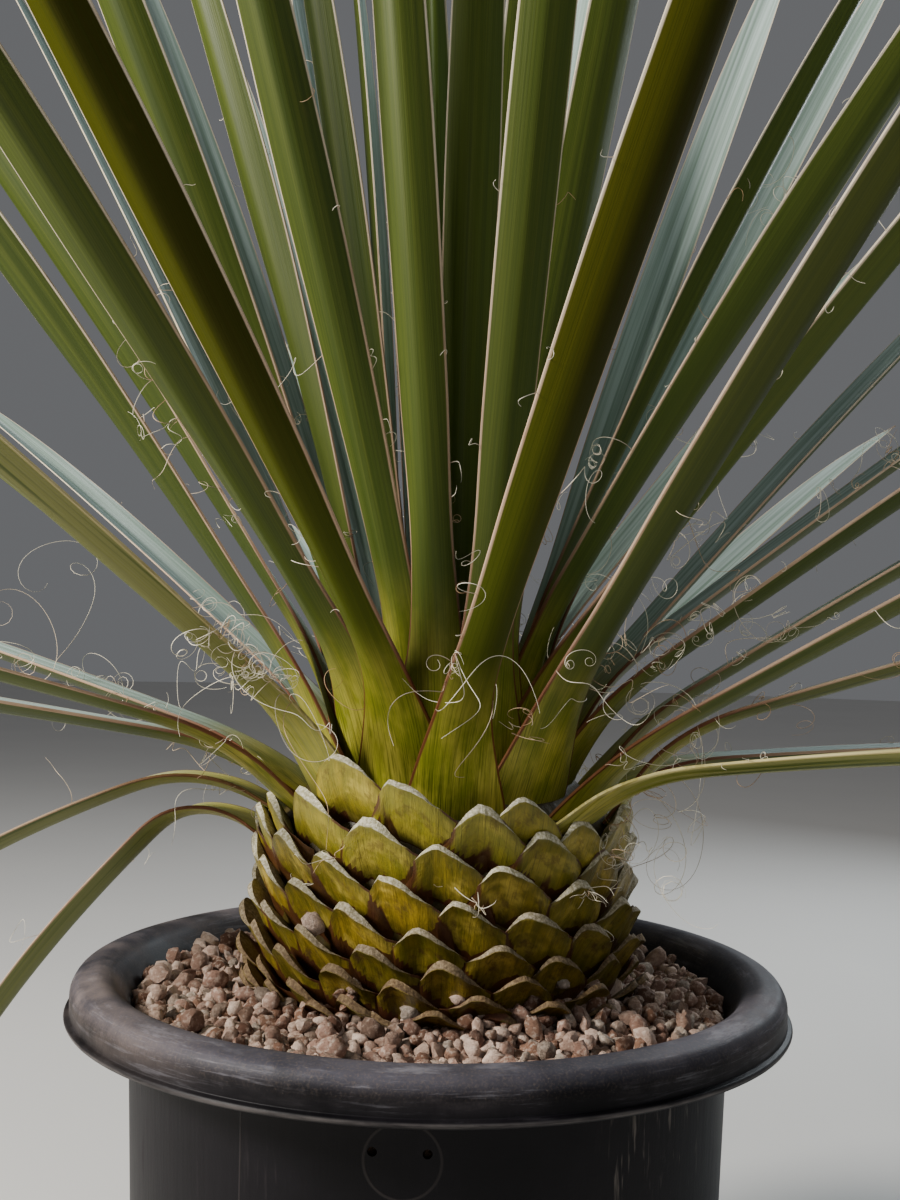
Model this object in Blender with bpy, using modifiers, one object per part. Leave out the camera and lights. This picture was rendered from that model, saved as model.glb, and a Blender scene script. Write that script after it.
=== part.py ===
"""A yucca with a trimmed stem, growing in a black plastic pot.

Metres, +Z up. The origin is the centre of the pot's underside, and the front is -Y.
"""

import math
import random

import bmesh
import bpy
import numpy as np

# Clearance kept between pieces that touch
GAP = 0.0003

# Round pieces are turned in this many steps
TURN_STEPS = 36
BUD_STEPS = 12

# Pot
LIP_HEIGHT = 0.228
LIP_RADIUS = 0.1805
BASE_RADIUS = 0.1427
WALL_TAPER = 0.0333
CREST_INNER_RADIUS = 0.1512
CREST_INNER_HEIGHT = 0.0055
WALL = 0.0025
FLOOR = 0.003
FLOOR_CHAMFER = 0.005
DRAIN_HOLES = 8
DRAIN_RADIUS = 0.007
DRAIN_CIRCLE = 0.108
PIN_HOLE_RADIUS = 0.002
PIN_HOLE_SPACING = 0.0226
PIN_HOLE_DROP = 0.023
PIN_HOLE_OFFSET = -0.0105

# Fill of the pot, measured from the underside of the rim's edge
SOIL_TOP = -0.012
GRAVEL_AT_WALL = 0.0045
GRAVEL_AT_STEM = 0.0075
GRAVEL_RELIEF = 0.0022
GRAVEL_EDGE_DROP = 0.0008
GRAVEL_RINGS = 9
GRAVEL_SECTORS = 2 * TURN_STEPS

# Stem, in its own axes: origin on its axis, level with the underside of the rim's edge
STEM_OFFSET = 0.0063
FOOT_RADIUS = 0.090
FOOT_DEPTH = 0.045
STEM_RADIUS = 0.084
BUD_RADIUS = 0.016
BURIED_BELOW = 0.0105

# Spiral order of the leaves, counted upwards from the trimmed base in the middle of the front
GOLDEN_ANGLE = 137.508
UPPER_ANGLE = 137.6
FRONT_AZIMUTH = 0.9
LOWEST_BASE = -105
CROWN_FOOT = 25
LAST_LIVE_LEAF = 75
YOUNGEST = 82

# Bases trimmed among the live leaves, with how much lower than their row each is cut
TRIMMED_HIGH_UP = {26: 0.013, 29: 0.0}

# Trimmed leaf bases
ROW_HEIGHT = 0.0842
ROW_RISE = 0.001205
ROW_BEND = 0.0000046
FRONT_RISE = 0.0071
BASE_HALF_WIDTH = 0.0255
TIP_RADIUS = 0.097
CORNER_RADIUS = 0.0865
CUT_DEPTH = 0.0048
CUT_RISE = 0.0004
CUT_EDGE = 0.0012
ARCH_HEIGHT = 0.0175
ARCH_HEIGHT_LOW = 0.010
ARCH_CURVE = 1.6
BELLY_DROP = 0.017
BELLY_INSET = 0.0035
ROOT_DROP = 0.032
BACK_DROP = 0.008
BASE_SECTIONS = (-1.0, -0.55, 0.0, 0.55, 1.0)
LOW_BASE_SECTIONS = (-1.0, -0.3, 0.45, 1.0)
LOW_ROWS_BELOW = -58

# Stubs that carry the old live leaves below the crown, with the radius of each leaf's foot and the share
# of its lean that it starts with
STUB_DROP = 0.012
STUB_LEAVES = {
    6: (0.0965, 0.50), 18: (0.0905, 0.70), 19: (0.0905, 0.60), 23: (0.0905, 0.50), 24: (0.0905, 0.65),
}
STUB_LEAF_LENGTH = 0.400
STUB_LEAF_HALF_WIDTH = 0.0125
STUB_LEAF_THICKNESS = 0.0050

# Crown cone that carries the live leaves
CROWN_RADIUS = 0.0839
CROWN_HEIGHT = 0.0945
CROWN_STEP = 0.0011

# Live leaves
LEAF_LENGTH = 0.580
YOUNG_LEAF_LENGTH = 0.430
LEAF_BASE_HALF_WIDTH = 0.022
LEAF_BASE_THICKNESS = 0.0068
OLD_LEAF_NARROWER = 0.005
NECK_HALF_WIDTH = 0.0102
BLADE_HALF_WIDTH = 0.0126
THIN_EDGE = 0.0008
THICK_EDGE = 0.0013
TIP_HALF_WIDTH = 0.0009
TIP_THICKNESS = 0.0012
STATION_SHARES = (0.0, 0.04, 0.085, 0.15, 0.30, 0.56, 0.82, 1.0)
BLADE_CHANNELS = (0.0022, 0.0020, 0.0022, 0.0030, 0.0036, 0.0024, 0.0004)
START_LEAN = 0.35
START_LEAN_OLD = 0.40
BEND_LENGTH = 0.085
TIP_DROOP = 4.0
YOUNGEST_UPRIGHT = 79
UPRIGHT_LEAN = 5.0
LEAN_RANGE = 75.0
LEAN_CURVE = 1.35

# Leaves that stand out: place on the spiral, lean and sideways swing in degrees
STANDING_OUT = {
    6: (130, -20), 18: (81, 0), 19: (111, -8), 23: (72, -5), 24: (75, -2), 27: (74, 10),
    28: (87, -10), 31: (60, 12), 32: (81, 8), 33: (63, 0), 34: (37, 20), 36: (58, -6),
    37: (56, 8), 39: (40, 3), 41: (45, -7), 42: (36, -23), 44: (54, 6), 45: (36, -6),
    46: (48, -20), 47: (17, -2), 48: (30, 6), 49: (54, 3), 50: (40, -6), 52: (43, 3),
    54: (22, -6), 55: (13, -14), 57: (33, 3), 58: (23, 0), 60: (17, 5), 62: (28, 5),
    63: (20, -12), 65: (34, 0), 70: (25, -3), 71: (11, 0), 73: (3, 0), 74: (4, 0),
}

# Leaves that droop more than the rest: place on the spiral and degrees at the tip
DROOPING = {6: 20, 18: 24, 19: 46, 28: 12}

# Leaves that turn about their own midline: place on the spiral and turn in degrees
TURNED = {
    42: 20, 45: 35, 50: 25, 53: 30, 54: 30, 58: 30, 61: -30, 62: 30, 63: 25, 65: -25,
    66: 35, 70: -30,
}
TURN_START = 0.045
TURN_LENGTH = 0.250

# Young leaves still upright round the bud
YOUNG_BUD_RADIUS = 0.0145
YOUNG_BUD_HEIGHT = 0.085
YOUNG_HALF_WIDTH = 0.0088
YOUNG_THICKNESS = 0.0032

PLASTIC = (0.028, 0.028, 0.034)
SOIL = (0.045, 0.028, 0.018)
PUMICE = (0.42, 0.29, 0.22)
LEAF_BASE = (0.17, 0.14, 0.03)
LEAF = (0.07, 0.12, 0.035)
YOUNG_LEAF = (0.12, 0.20, 0.08)


def clear_scene():
    for obj in list(bpy.data.objects):
        bpy.data.objects.remove(obj, do_unlink=True)


def new_collection(name):
    collection = bpy.data.collections.new(name)
    bpy.context.scene.collection.children.link(collection)
    return collection


def new_material(name, colour, roughness):
    material = bpy.data.materials.new(name)
    material.use_nodes = True
    shader = material.node_tree.nodes["Principled BSDF"]
    shader.inputs["Base Color"].default_value = (*colour, 1.0)
    shader.inputs["Roughness"].default_value = roughness
    return material


def new_object(name, collection, points, edges=(), faces=()):
    mesh = bpy.data.meshes.new(name)
    mesh.from_pydata([tuple(point) for point in points], list(edges), list(faces))
    obj = bpy.data.objects.new(name, mesh)
    collection.objects.link(obj)
    return obj


def turned(name, collection, profile, steps=TURN_STEPS):
    """Turns a profile of (radius, height) points round Z. It runs down the outer side."""
    points = [(radius, 0.0, height) for radius, height in profile]
    edges = [(i, i + 1) for i in range(len(points) - 1)]
    obj = new_object(name, collection, points, edges)
    screw = obj.modifiers.new("Turn", "SCREW")
    screw.axis = "Z"
    screw.steps = steps
    screw.render_steps = steps
    screw.use_merge_vertices = True
    screw.merge_threshold = 0.00001
    return obj


def cylinder(name, collection, radius, depth, sides, location, tilt=0.0):
    mesh = bpy.data.meshes.new(name)
    shape = bmesh.new()
    bmesh.ops.create_cone(
        shape, cap_ends=True, segments=sides, radius1=radius, radius2=radius, depth=depth
    )
    shape.to_mesh(mesh)
    shape.free()
    obj = bpy.data.objects.new(name, mesh)
    obj.location = location
    obj.rotation_euler = (tilt, 0.0, 0.0)
    collection.objects.link(obj)
    return obj


def add_boolean(obj, operation, collection, solver="EXACT"):
    boolean = obj.modifiers.new("Joined", "BOOLEAN")
    boolean.operation = operation
    boolean.operand_type = "COLLECTION"
    boolean.collection = collection
    boolean.solver = solver
    return boolean


def apply_modifiers(obj):
    bpy.context.view_layer.update()
    evaluated = obj.evaluated_get(bpy.context.evaluated_depsgraph_get())
    mesh = bpy.data.meshes.new_from_object(evaluated)
    obj.modifiers.clear()
    obj.data = mesh


def remove_collection(collection):
    for obj in list(collection.objects):
        bpy.data.objects.remove(obj, do_unlink=True)
    bpy.data.collections.remove(collection)


def hide_cutters(collection):
    collection.hide_render = True
    for obj in collection.objects:
        obj.hide_render = True
        obj.display_type = "WIRE"


def finish(obj, material, sharp_angle=40.0):
    obj.data.materials.append(material)
    obj.data.shade_smooth()
    obj.data.set_sharp_from_angle(angle=math.radians(sharp_angle))


def wall_radius(height):
    """Outer radius of the pot's tapered wall."""
    return BASE_RADIUS + WALL_TAPER * height


def mouth_radius(above_lip):
    """Inner radius of the pot's mouth, where the wall opens out into the rim."""
    inner = wall_radius(LIP_HEIGHT) - WALL
    return inner + (CREST_INNER_RADIUS - inner) * above_lip / CREST_INNER_HEIGHT


def facet_radius(radius, angle):
    """Distance to the flat side of a turned piece, whose corners lie at this radius."""
    step = 2.0 * math.pi / TURN_STEPS
    return radius * math.cos(step / 2.0) / math.cos(angle % step - step / 2.0)


def pot_profile():
    """Floor, inner wall, rolled rim that is hollow underneath, and outer wall."""
    lip = LIP_HEIGHT
    inside = [
        (0.0, FLOOR),
        (wall_radius(FLOOR) - WALL - FLOOR_CHAMFER, FLOOR),
        (wall_radius(FLOOR + FLOOR_CHAMFER) - WALL, FLOOR + FLOOR_CHAMFER),
        (wall_radius(lip) - WALL, lip),
        (CREST_INNER_RADIUS, lip + CREST_INNER_HEIGHT),
    ]
    rim = [
        (0.1580, lip + 0.0150),
        (0.1625, lip + 0.0175),
        (0.1700, lip + 0.0178),
        (0.1755, lip + 0.0152),
        (0.1780, lip + 0.0100),
        (0.1778, lip + 0.0022),
        (LIP_RADIUS, lip + 0.0015),
        (LIP_RADIUS, lip - 0.0010),
        (0.1758, lip - 0.0010),
        (0.1755, lip + 0.0095),
        (0.1715, lip + 0.0148),
        (0.1610, lip + 0.0140),
        (0.1545, lip + 0.0045),
    ]
    outside = [
        (wall_radius(lip - 0.004), lip - 0.004),
        (wall_radius(0.004), 0.004),
        (wall_radius(0.0) - 0.003, 0.0),
        (0.0, 0.0),
    ]
    return inside + rim + outside


def build_pot(collection, cutters):
    pot = turned("pot", collection, pot_profile())
    for i in range(DRAIN_HOLES):
        angle = 2.0 * math.pi * (i + 0.5) / DRAIN_HOLES
        place = (DRAIN_CIRCLE * math.cos(angle), DRAIN_CIRCLE * math.sin(angle), FLOOR / 2.0)
        cylinder(f"drain_{i + 1}", cutters, DRAIN_RADIUS, 4.0 * FLOOR, 8, place)
    height = LIP_HEIGHT - PIN_HOLE_DROP
    for i in range(2):
        side = PIN_HOLE_OFFSET + (i - 0.5) * PIN_HOLE_SPACING
        reach = math.sqrt(wall_radius(height) ** 2 - side**2)
        place = (side, -reach, height)
        cylinder(f"pin_hole_{i + 1}", cutters, PIN_HOLE_RADIUS, 0.012, 8, place, math.pi / 2.0)
    hide_cutters(cutters)
    add_boolean(pot, "DIFFERENCE", cutters)
    finish(pot, new_material("black_plastic", PLASTIC, 0.55))


def foot_profile(clearance):
    """The stem's buried foot, from the outside in."""
    return [
        (FOOT_RADIUS + clearance, -FOOT_DEPTH * 0.45 - clearance),
        (FOOT_RADIUS - 0.012 + clearance, -FOOT_DEPTH * 0.85 - clearance),
        (FOOT_RADIUS - 0.035 + clearance, -FOOT_DEPTH - clearance),
        (0.0, -FOOT_DEPTH - clearance),
    ]


def build_soil(collection, cutters):
    top = LIP_HEIGHT + SOIL_TOP
    chamfer_top = FLOOR + 1.3 * FLOOR_CHAMFER
    profile = [
        (0.0, top),
        (wall_radius(top) - WALL - GAP, top),
        (wall_radius(chamfer_top) - WALL - GAP, chamfer_top),
        (wall_radius(FLOOR) - WALL - 1.3 * FLOOR_CHAMFER, FLOOR + GAP),
        (0.0, FLOOR + GAP),
    ]
    soil = turned("soil", collection, profile)
    hole = turned("stem_hole", cutters, [(0.0, 0.01), (FOOT_RADIUS + GAP, 0.01)] + foot_profile(GAP))
    hole.location = (STEM_OFFSET, 0.0, LIP_HEIGHT)
    hide_cutters(cutters)
    add_boolean(soil, "DIFFERENCE", cutters)
    finish(soil, new_material("potting_soil", SOIL, 0.95))


def gravel_section(sector, rng):
    """Half section of the gravel in one direction: flat below, bumpy with stones on top."""
    lip = LIP_HEIGHT
    straight = 2.0 * math.pi * sector / GRAVEL_SECTORS
    bottom = lip + SOIL_TOP + GAP
    outline = [
        (FOOT_RADIUS + GAP, bottom, 0.0),
        (wall_radius(bottom) - WALL - GAP, bottom, 1.0),
        (wall_radius(lip) - WALL - GAP, lip, 1.0),
    ]
    places = [(facet_radius(radius, straight), straight, z, across) for radius, z, across in outline]
    inner = FOOT_RADIUS + GAP
    outer = mouth_radius(GRAVEL_AT_WALL - GRAVEL_EDGE_DROP) - 1.3 * GAP
    for i in range(GRAVEL_RINGS, -1, -1):
        across = i / GRAVEL_RINGS
        level = lip + GRAVEL_AT_STEM + (GRAVEL_AT_WALL - GRAVEL_AT_STEM) * across
        radius = inner + (outer - inner) * across
        if i in (0, GRAVEL_RINGS):
            places.append((facet_radius(radius, straight), straight, level - GRAVEL_EDGE_DROP, across))
            continue
        angle = straight + 2.0 * math.pi * rng.uniform(-0.28, 0.28) / GRAVEL_SECTORS
        stone = GRAVEL_RELIEF * rng.uniform(0.35, 1.0) * (1 if (i + sector) % 2 else -1)
        places.append((radius + rng.uniform(-0.0013, 0.0013), angle, level + stone, across))
    points = []
    for radius, angle, z, across in places:
        centre = STEM_OFFSET * (1.0 - across)
        points.append((centre + radius * math.cos(angle), radius * math.sin(angle), z))
    return points


def build_gravel(collection):
    """A ring of stones between stem and wall, lofted round through unlike sections."""
    rng = random.Random(11)
    sections = [gravel_section(sector, rng) for sector in range(GRAVEL_SECTORS)]
    points, faces = loft(sections, True)
    gravel = new_object("gravel", collection, points, (), faces)
    face_outwards(gravel)
    gravel.data.materials.append(new_material("pumice", PUMICE, 0.9))


def face_outwards(obj):
    shape = bmesh.new()
    shape.from_mesh(obj.data)
    bmesh.ops.recalc_face_normals(shape, faces=shape.faces)
    shape.to_mesh(obj.data)
    shape.free()


def loft(rings, closed=False):
    """Skin through equal rings of points, in triangles alike all round. It ends in itself or in caps."""
    count = len(rings[0])
    points = [point for ring in rings for point in ring]
    faces = []
    for i in range(len(rings) if closed else len(rings) - 1):
        near = i * count
        far = (i + 1) % len(rings) * count
        for j in range(count):
            k = (j + 1) % count
            faces.append((near + j, near + k, far + k))
            faces.append((near + j, far + k, far + j))
    last = (len(rings) - 1) * count
    if closed:
        return points, faces
    if count == 6:
        faces += [(0, 5, 4, 1), (1, 4, 3, 2)]
        faces += [(last, last + 1, last + 4, last + 5), (last + 1, last + 2, last + 3, last + 4)]
        return points, faces
    faces += [tuple(reversed(range(count))), tuple(range(last, last + count))]
    return points, faces


def azimuth_of(place):
    """Azimuth in radians of a place on the spiral, from the front towards +X."""
    step = GOLDEN_ANGLE if place <= 0 else UPPER_ANGLE
    return math.radians(FRONT_AZIMUTH - step * place)


def polar(radius, azimuth, height):
    return (radius * math.sin(azimuth), -radius * math.cos(azimuth), height)


def tip_height(place):
    """Height of a trimmed base's tip. The rows close up downwards and stand higher in front."""
    drop = STUB_DROP if place in STUB_LEAVES else TRIMMED_HIGH_UP.get(place, 0.0)
    rise = ROW_RISE * place + ROW_BEND * place**2 - drop
    return ROW_HEIGHT + rise + FRONT_RISE * math.cos(azimuth_of(place))


def trimmed_base(place, collection):
    """A leaf base cut short: sections across it, each from root to belly to cut and back."""
    azimuth = azimuth_of(place)
    tip = tip_height(place)
    share = max(0.0, min(1.0, tip / ROW_HEIGHT))
    arch = ARCH_HEIGHT_LOW + (ARCH_HEIGHT - ARCH_HEIGHT_LOW) * share
    inside = STEM_RADIUS - 0.005
    rings = []
    for u in BASE_SECTIONS if place > LOW_ROWS_BELOW else LOW_BASE_SECTIONS:
        fullness = 1.0 - u * u
        outer = CORNER_RADIUS + (TIP_RADIUS - CORNER_RADIUS) * fullness
        cut = CUT_EDGE + CUT_DEPTH * fullness
        top = max(tip - arch * abs(u) ** ARCH_CURVE, BURIED_BELOW + 0.0030)
        belly = max(top - BELLY_DROP, BURIED_BELOW + 0.0010)
        root = max(top - ROOT_DROP, BURIED_BELOW)
        back = max(min(top - BACK_DROP, CROWN_HEIGHT - BACK_DROP), root + 0.0015)
        section = [
            (inside, root),
            (outer - BELLY_INSET, belly),
            (outer, top),
            (outer - cut, top + CUT_RISE),
            (inside, back),
        ]
        angle = azimuth + u * BASE_HALF_WIDTH / TIP_RADIUS
        rings.append([polar(radius, angle, height) for radius, height in section])
    points, faces = loft(rings)
    base = new_object(f"base_{place}", collection, points, (), faces)
    face_outwards(base)
    return base


def crown_height(radius):
    """Height of the crown's cone, which falls at 45 degrees to the shoulder."""
    return CROWN_HEIGHT + max(0.0, CROWN_RADIUS - radius)


def build_trunk(collection, plant):
    profile = [
        (0.0, crown_height(BUD_RADIUS)),
        (BUD_RADIUS, crown_height(BUD_RADIUS)),
        (STEM_RADIUS, crown_height(STEM_RADIUS)),
        (STEM_RADIUS, BURIED_BELOW),
        (FOOT_RADIUS, BURIED_BELOW - 0.003),
    ] + foot_profile(0.0)
    trunk = turned("trunk", collection, profile)
    trunk.parent = plant
    bases = new_collection("trimmed_bases")
    places = list(range(LOWEST_BASE, CROWN_FOOT)) + list(TRIMMED_HIGH_UP)
    for place in places:
        if tip_height(place) > BURIED_BELOW + 0.004:
            trimmed_base(place, bases).parent = plant
    add_boolean(trunk, "UNION", bases, "MANIFOLD")
    apply_modifiers(trunk)
    remove_collection(bases)
    trunk.data.materials.clear()
    trunk.data.materials.append(new_material("leaf_base", LEAF_BASE, 0.6))


def smooth_step(x):
    x = np.clip(x, 0.0, 1.0)
    return x * x * (3.0 - 2.0 * x)


def age_of(place):
    """Age of a live leaf, from 0 for the youngest to 1 for the oldest."""
    return min(1.0, (YOUNGEST_UPRIGHT - place) / (YOUNGEST_UPRIGHT - CROWN_FOOT))


def rule_lean(place):
    """Lean from the vertical: old leaves lie nearly flat, young ones stand up."""
    return UPRIGHT_LEAN + LEAN_RANGE * max(0.0, age_of(place)) ** LEAN_CURVE


def leaf_path(start, place, opening, lean, swing, length, stations):
    """Midline of a leaf and its tangent, side and underside directions at the stations."""
    s = np.linspace(0.0, length, 241)
    bend = smooth_step(s / BEND_LENGTH)
    droop = DROOPING.get(place, TIP_DROOP) * (s / length) ** 2
    tilt = np.radians(lean * (opening + (1.0 - opening) * bend) + droop)
    turn = azimuth_of(place) + np.radians(swing) * bend
    along = np.stack(
        [np.sin(tilt) * np.sin(turn), -np.sin(tilt) * np.cos(turn), np.cos(tilt)], axis=1
    )
    steps = (along[1:] + along[:-1]) / 2.0 * (s[1] - s[0])
    points = np.concatenate([[start], np.array(start) + np.cumsum(steps, axis=0)])
    index = np.searchsorted(s, np.array(stations) - 1e-9)
    side = np.stack([np.cos(turn), np.sin(turn), np.zeros_like(turn)], axis=1)
    under = np.cross(side, along)
    roll = np.radians(TURNED.get(place, 0.0)) * smooth_step((s - TURN_START) / TURN_LENGTH)[:, None]
    across = side * np.cos(roll) - under * np.sin(roll)
    under = under * np.cos(roll) + side * np.sin(roll)
    return points[index], along[index], across[index], under[index]


def blade(place, start_radius, start_height, lean, swing, length, half_width, thick, seat):
    """A leaf as a loft of six-point sections: thick clasping base, neck, channelled blade."""
    neck = min(NECK_HALF_WIDTH, half_width * 0.75)
    wide = min(BLADE_HALF_WIDTH, half_width * 0.85)
    halves = [half_width, 0.80 * half_width, 0.62 * half_width, neck, 0.5 * (neck + wide), wide]
    halves += [0.68 * wide, TIP_HALF_WIDTH]
    depths = [thick * share for share in (1.0, 1.0, 0.95, 0.8, 0.62, 0.48, 0.34)]
    depths += [TIP_THICKNESS]
    clasp = half_width**2 / (2.0 * max(start_radius, 0.03))
    channels = (clasp,) + BLADE_CHANNELS
    start = polar(start_radius, azimuth_of(place), start_height)
    opening = START_LEAN + START_LEAN_OLD * age_of(place) ** 2
    if seat == "stub":
        opening = STUB_LEAVES[place][1]
    stations = [share * length for share in STATION_SHARES]
    frames = leaf_path(start, place, opening, lean, swing, length, stations)
    rings = []
    for i, (point, along, side, under) in enumerate(zip(*frames)):
        half, depth, channel = halves[i], depths[i], channels[i]
        edge = max(THIN_EDGE, min(THICK_EDGE, depth * 0.3))
        corners = [
            (-half, -channel + edge / 2.0),
            (0.0, depth / 2.0),
            (half, -channel + edge / 2.0),
            (half, -channel - edge / 2.0),
            (0.0, -depth / 2.0),
            (-half, -channel - edge / 2.0),
        ]
        ring = [point + side * across + under * out for across, out in corners]
        if i == 0 and seat == "crown":
            ring = [seated_on_crown(corner, along, half_width) for corner in ring]
        if i == 0 and seat == "stub":
            ring = [corner + along * (start_height - corner[2]) / along[2] for corner in ring]
        rings.append([tuple(corner) for corner in ring])
    return loft(rings)


def seated_on_crown(corner, along, half_width):
    """Slides a point of a leaf's foot along the leaf until it lies just above the crown."""
    for _ in range(8):
        radius = math.hypot(corner[0], corner[1])
        bulge = radius * (1.0 - math.cos(half_width / radius / 2.0))
        level = crown_height(radius) + 1.6 * GAP + bulge
        outward = math.hypot(along[0], along[1])
        corner = corner + along * (level - corner[2]) / (along[2] + outward)
    return corner


def crown_leaf(place, lean, swing, stray):
    """A leaf whose foot sits on the crown's cone."""
    step = CROWN_STEP * (place - CROWN_FOOT)
    radius = CROWN_RADIUS - step
    youth = max(0.0, (place - 58.0) / (YOUNGEST_UPRIGHT - 58.0))
    length = LEAF_LENGTH + (YOUNG_LEAF_LENGTH - LEAF_LENGTH) * youth**1.5
    length = length * (1.0 + 0.03 * stray)
    half_width = min(LEAF_BASE_HALF_WIDTH, 0.42 * radius) - OLD_LEAF_NARROWER * age_of(place) ** 6
    thick = min(LEAF_BASE_THICKNESS, 0.0026 + 0.075 * radius)
    height = CROWN_HEIGHT + step
    return blade(place, radius, height, lean, swing, length, half_width, thick, "crown")


def stub_leaf(place, lean, swing):
    """An old leaf that leaves the stem's side from the top of a short stub."""
    height = tip_height(place) + CUT_RISE + 1.2 * GAP
    length = STUB_LEAF_LENGTH if lean > 90.0 else LEAF_LENGTH
    half_width = STUB_LEAF_HALF_WIDTH
    thick = STUB_LEAF_THICKNESS
    radius = STUB_LEAVES[place][0]
    return blade(place, radius, height, lean, swing, length, half_width, thick, "stub")


def build_leaves(collection, plant):
    rng = random.Random(5)
    green = new_material("leaf_green", LEAF, 0.5)
    places = list(STUB_LEAVES) + list(range(CROWN_FOOT, LAST_LIVE_LEAF + 1))
    number = 0
    for place in places:
        stray = rng.uniform(-1.0, 1.0)
        if place in TRIMMED_HIGH_UP:
            continue
        number += 1
        lean, swing = STANDING_OUT.get(place, (rule_lean(place) + 1.5 * stray, 2.0 * stray))
        if place in STUB_LEAVES:
            points, faces = stub_leaf(place, lean, swing)
        else:
            points, faces = crown_leaf(place, lean, swing, stray)
        leaf = new_object(f"leaf_{number:02d}", collection, points, (), faces)
        face_outwards(leaf)
        leaf.parent = plant
        finish(leaf, green, 60.0)


def build_young_leaves(collection, plant):
    """The furled heart: slim upright blades fused round a small bud."""
    foot = crown_height(BUD_RADIUS) + GAP
    profile = [
        (0.0, foot + YOUNG_BUD_HEIGHT),
        (0.003, foot + YOUNG_BUD_HEIGHT),
        (0.010, foot + 0.4 * YOUNG_BUD_HEIGHT),
        (YOUNG_BUD_RADIUS, foot),
        (0.0, foot),
    ]
    heart = turned("young_leaves", collection, profile, BUD_STEPS)
    heart.parent = plant
    blades = new_collection("young_blades")
    for place in range(LAST_LIVE_LEAF + 1, YOUNGEST + 1):
        rank = place - LAST_LIVE_LEAF
        length = YOUNG_LEAF_LENGTH * (0.98 - 0.03 * rank)
        radius = 0.0120 - 0.0009 * rank
        lean = rule_lean(place) + 1.0
        half_width = YOUNG_HALF_WIDTH
        thick = YOUNG_THICKNESS
        points, faces = blade(
            place, radius, foot + 0.004, lean, 0.0, length, half_width, thick, "bud"
        )
        young = new_object(f"blade_{rank}", blades, points, (), faces)
        face_outwards(young)
        young.parent = plant
    add_boolean(heart, "UNION", blades, "MANIFOLD")
    apply_modifiers(heart)
    remove_collection(blades)
    heart.data.materials.clear()
    heart.data.materials.append(new_material("young_leaf_green", YOUNG_LEAF, 0.5))


def main():
    clear_scene()
    parts = new_collection("potted_yucca")
    plant = bpy.data.objects.new("plant_axis", None)
    plant.location = (STEM_OFFSET, 0.0, LIP_HEIGHT)
    parts.objects.link(plant)
    build_pot(parts, new_collection("pot_cutters"))
    build_soil(parts, new_collection("soil_cutters"))
    build_gravel(parts)
    build_trunk(parts, plant)
    build_leaves(parts, plant)
    build_young_leaves(parts, plant)


main()
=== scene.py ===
"""A yucca with a trimmed stem, growing in a black plastic pot topped with pumice gravel.

Metres, +Z up, and the front is -Y. Every new piece is worked out as whole arrays of points:
rings of points in rows, skinned by one function and put into a mesh in one go.
"""

import math
import random
from collections import namedtuple

import bmesh
import bpy
import numpy as np
from mathutils import Matrix, Vector


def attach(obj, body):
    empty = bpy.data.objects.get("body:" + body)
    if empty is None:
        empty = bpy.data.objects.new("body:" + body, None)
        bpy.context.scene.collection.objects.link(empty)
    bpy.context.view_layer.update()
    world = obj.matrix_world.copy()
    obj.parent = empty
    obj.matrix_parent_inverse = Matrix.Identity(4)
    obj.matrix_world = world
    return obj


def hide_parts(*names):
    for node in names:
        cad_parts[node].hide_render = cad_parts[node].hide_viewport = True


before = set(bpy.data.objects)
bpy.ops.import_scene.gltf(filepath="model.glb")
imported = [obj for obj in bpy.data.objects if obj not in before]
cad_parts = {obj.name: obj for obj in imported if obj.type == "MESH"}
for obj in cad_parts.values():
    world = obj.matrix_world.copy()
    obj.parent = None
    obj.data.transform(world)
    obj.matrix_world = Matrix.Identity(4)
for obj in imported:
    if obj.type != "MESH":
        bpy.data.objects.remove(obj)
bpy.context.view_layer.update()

TAU = 2 * math.pi

# Pot. LIP is the height of its rim's lower edge, and MOUTH_RADIUS the wall's inner radius there.
LIP = 0.228
BASE_RADIUS = 0.1427
WALL_TAPER = 0.0333
WALL = 0.0025
POT_FLOOR = 0.003
MOUTH_RADIUS = BASE_RADIUS + WALL_TAPER * LIP - WALL
POT_SIDES = 168
POT_SAG = 0.0005
DRAIN_HOLES = 8
DRAIN_CIRCLE = 0.108
DRAIN_RADIUS = 0.007
PIN_HOLE_RADIUS = 0.002
PIN_HOLE_SIDES = (-0.0218, 0.0008)
PIN_HOLE_HEIGHT = 0.205
RING_MIDDLE = (-0.0093, 0.2017)
RING_RADIUS = 0.016
SEAM_SIDE = -0.078

# Corners of the rim's section, from the inside over the top to the underside: radius, height over LIP, cut
RIM_CORNERS = (
    (0.1512, 0.0055, 0.003), (0.1575, 0.0158, 0.004), (0.165, 0.0188, 0.003), (0.1752, 0.0166, 0.0025),
    (0.1784, 0.011, 0.0025), (0.1782, 0.0012, 0.0006), (0.1804, 0.0006, 0.0006), (0.181, -0.0006, 0.0005),
    (0.1802, -0.0022, 0.0005), (0.1762, -0.0022, 0.0004), (0.1758, 0.0095, 0.003), (0.171, 0.015, 0.003),
    (0.1612, 0.0142, 0.003), (0.1545, 0.0045, 0.002),
)

# Stem, in its own axes: on its own axis, level with the rim's lower edge
STEM_AXIS = np.array([0.0063, 0, LIP])
STEM_RADIUS = 0.084
BURIED = 0.0105

# Trimmed bases: heights of their tips by rows, radii, width, and how much shows between the neighbours
ROW_HEIGHT = 0.0842
ROW_RISE = 0.001205
ROW_BEND = 0.0000046
FRONT_RISE = 0.0071
STUB_DROP = 0.012
TOP_ROW = 0.11
TIP_RADIUS = 0.097
CORNER_RADIUS = 0.0865
ROOT_RADIUS = 0.079
BASE_HALF_WIDTH = 0.0262
ROOT_DROP = 0.032
BASE_COLUMNS = 29
SHOWN_HALF = 0.78
CREST_HALF = 0.62
CREST_RISE = 0.0034

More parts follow.
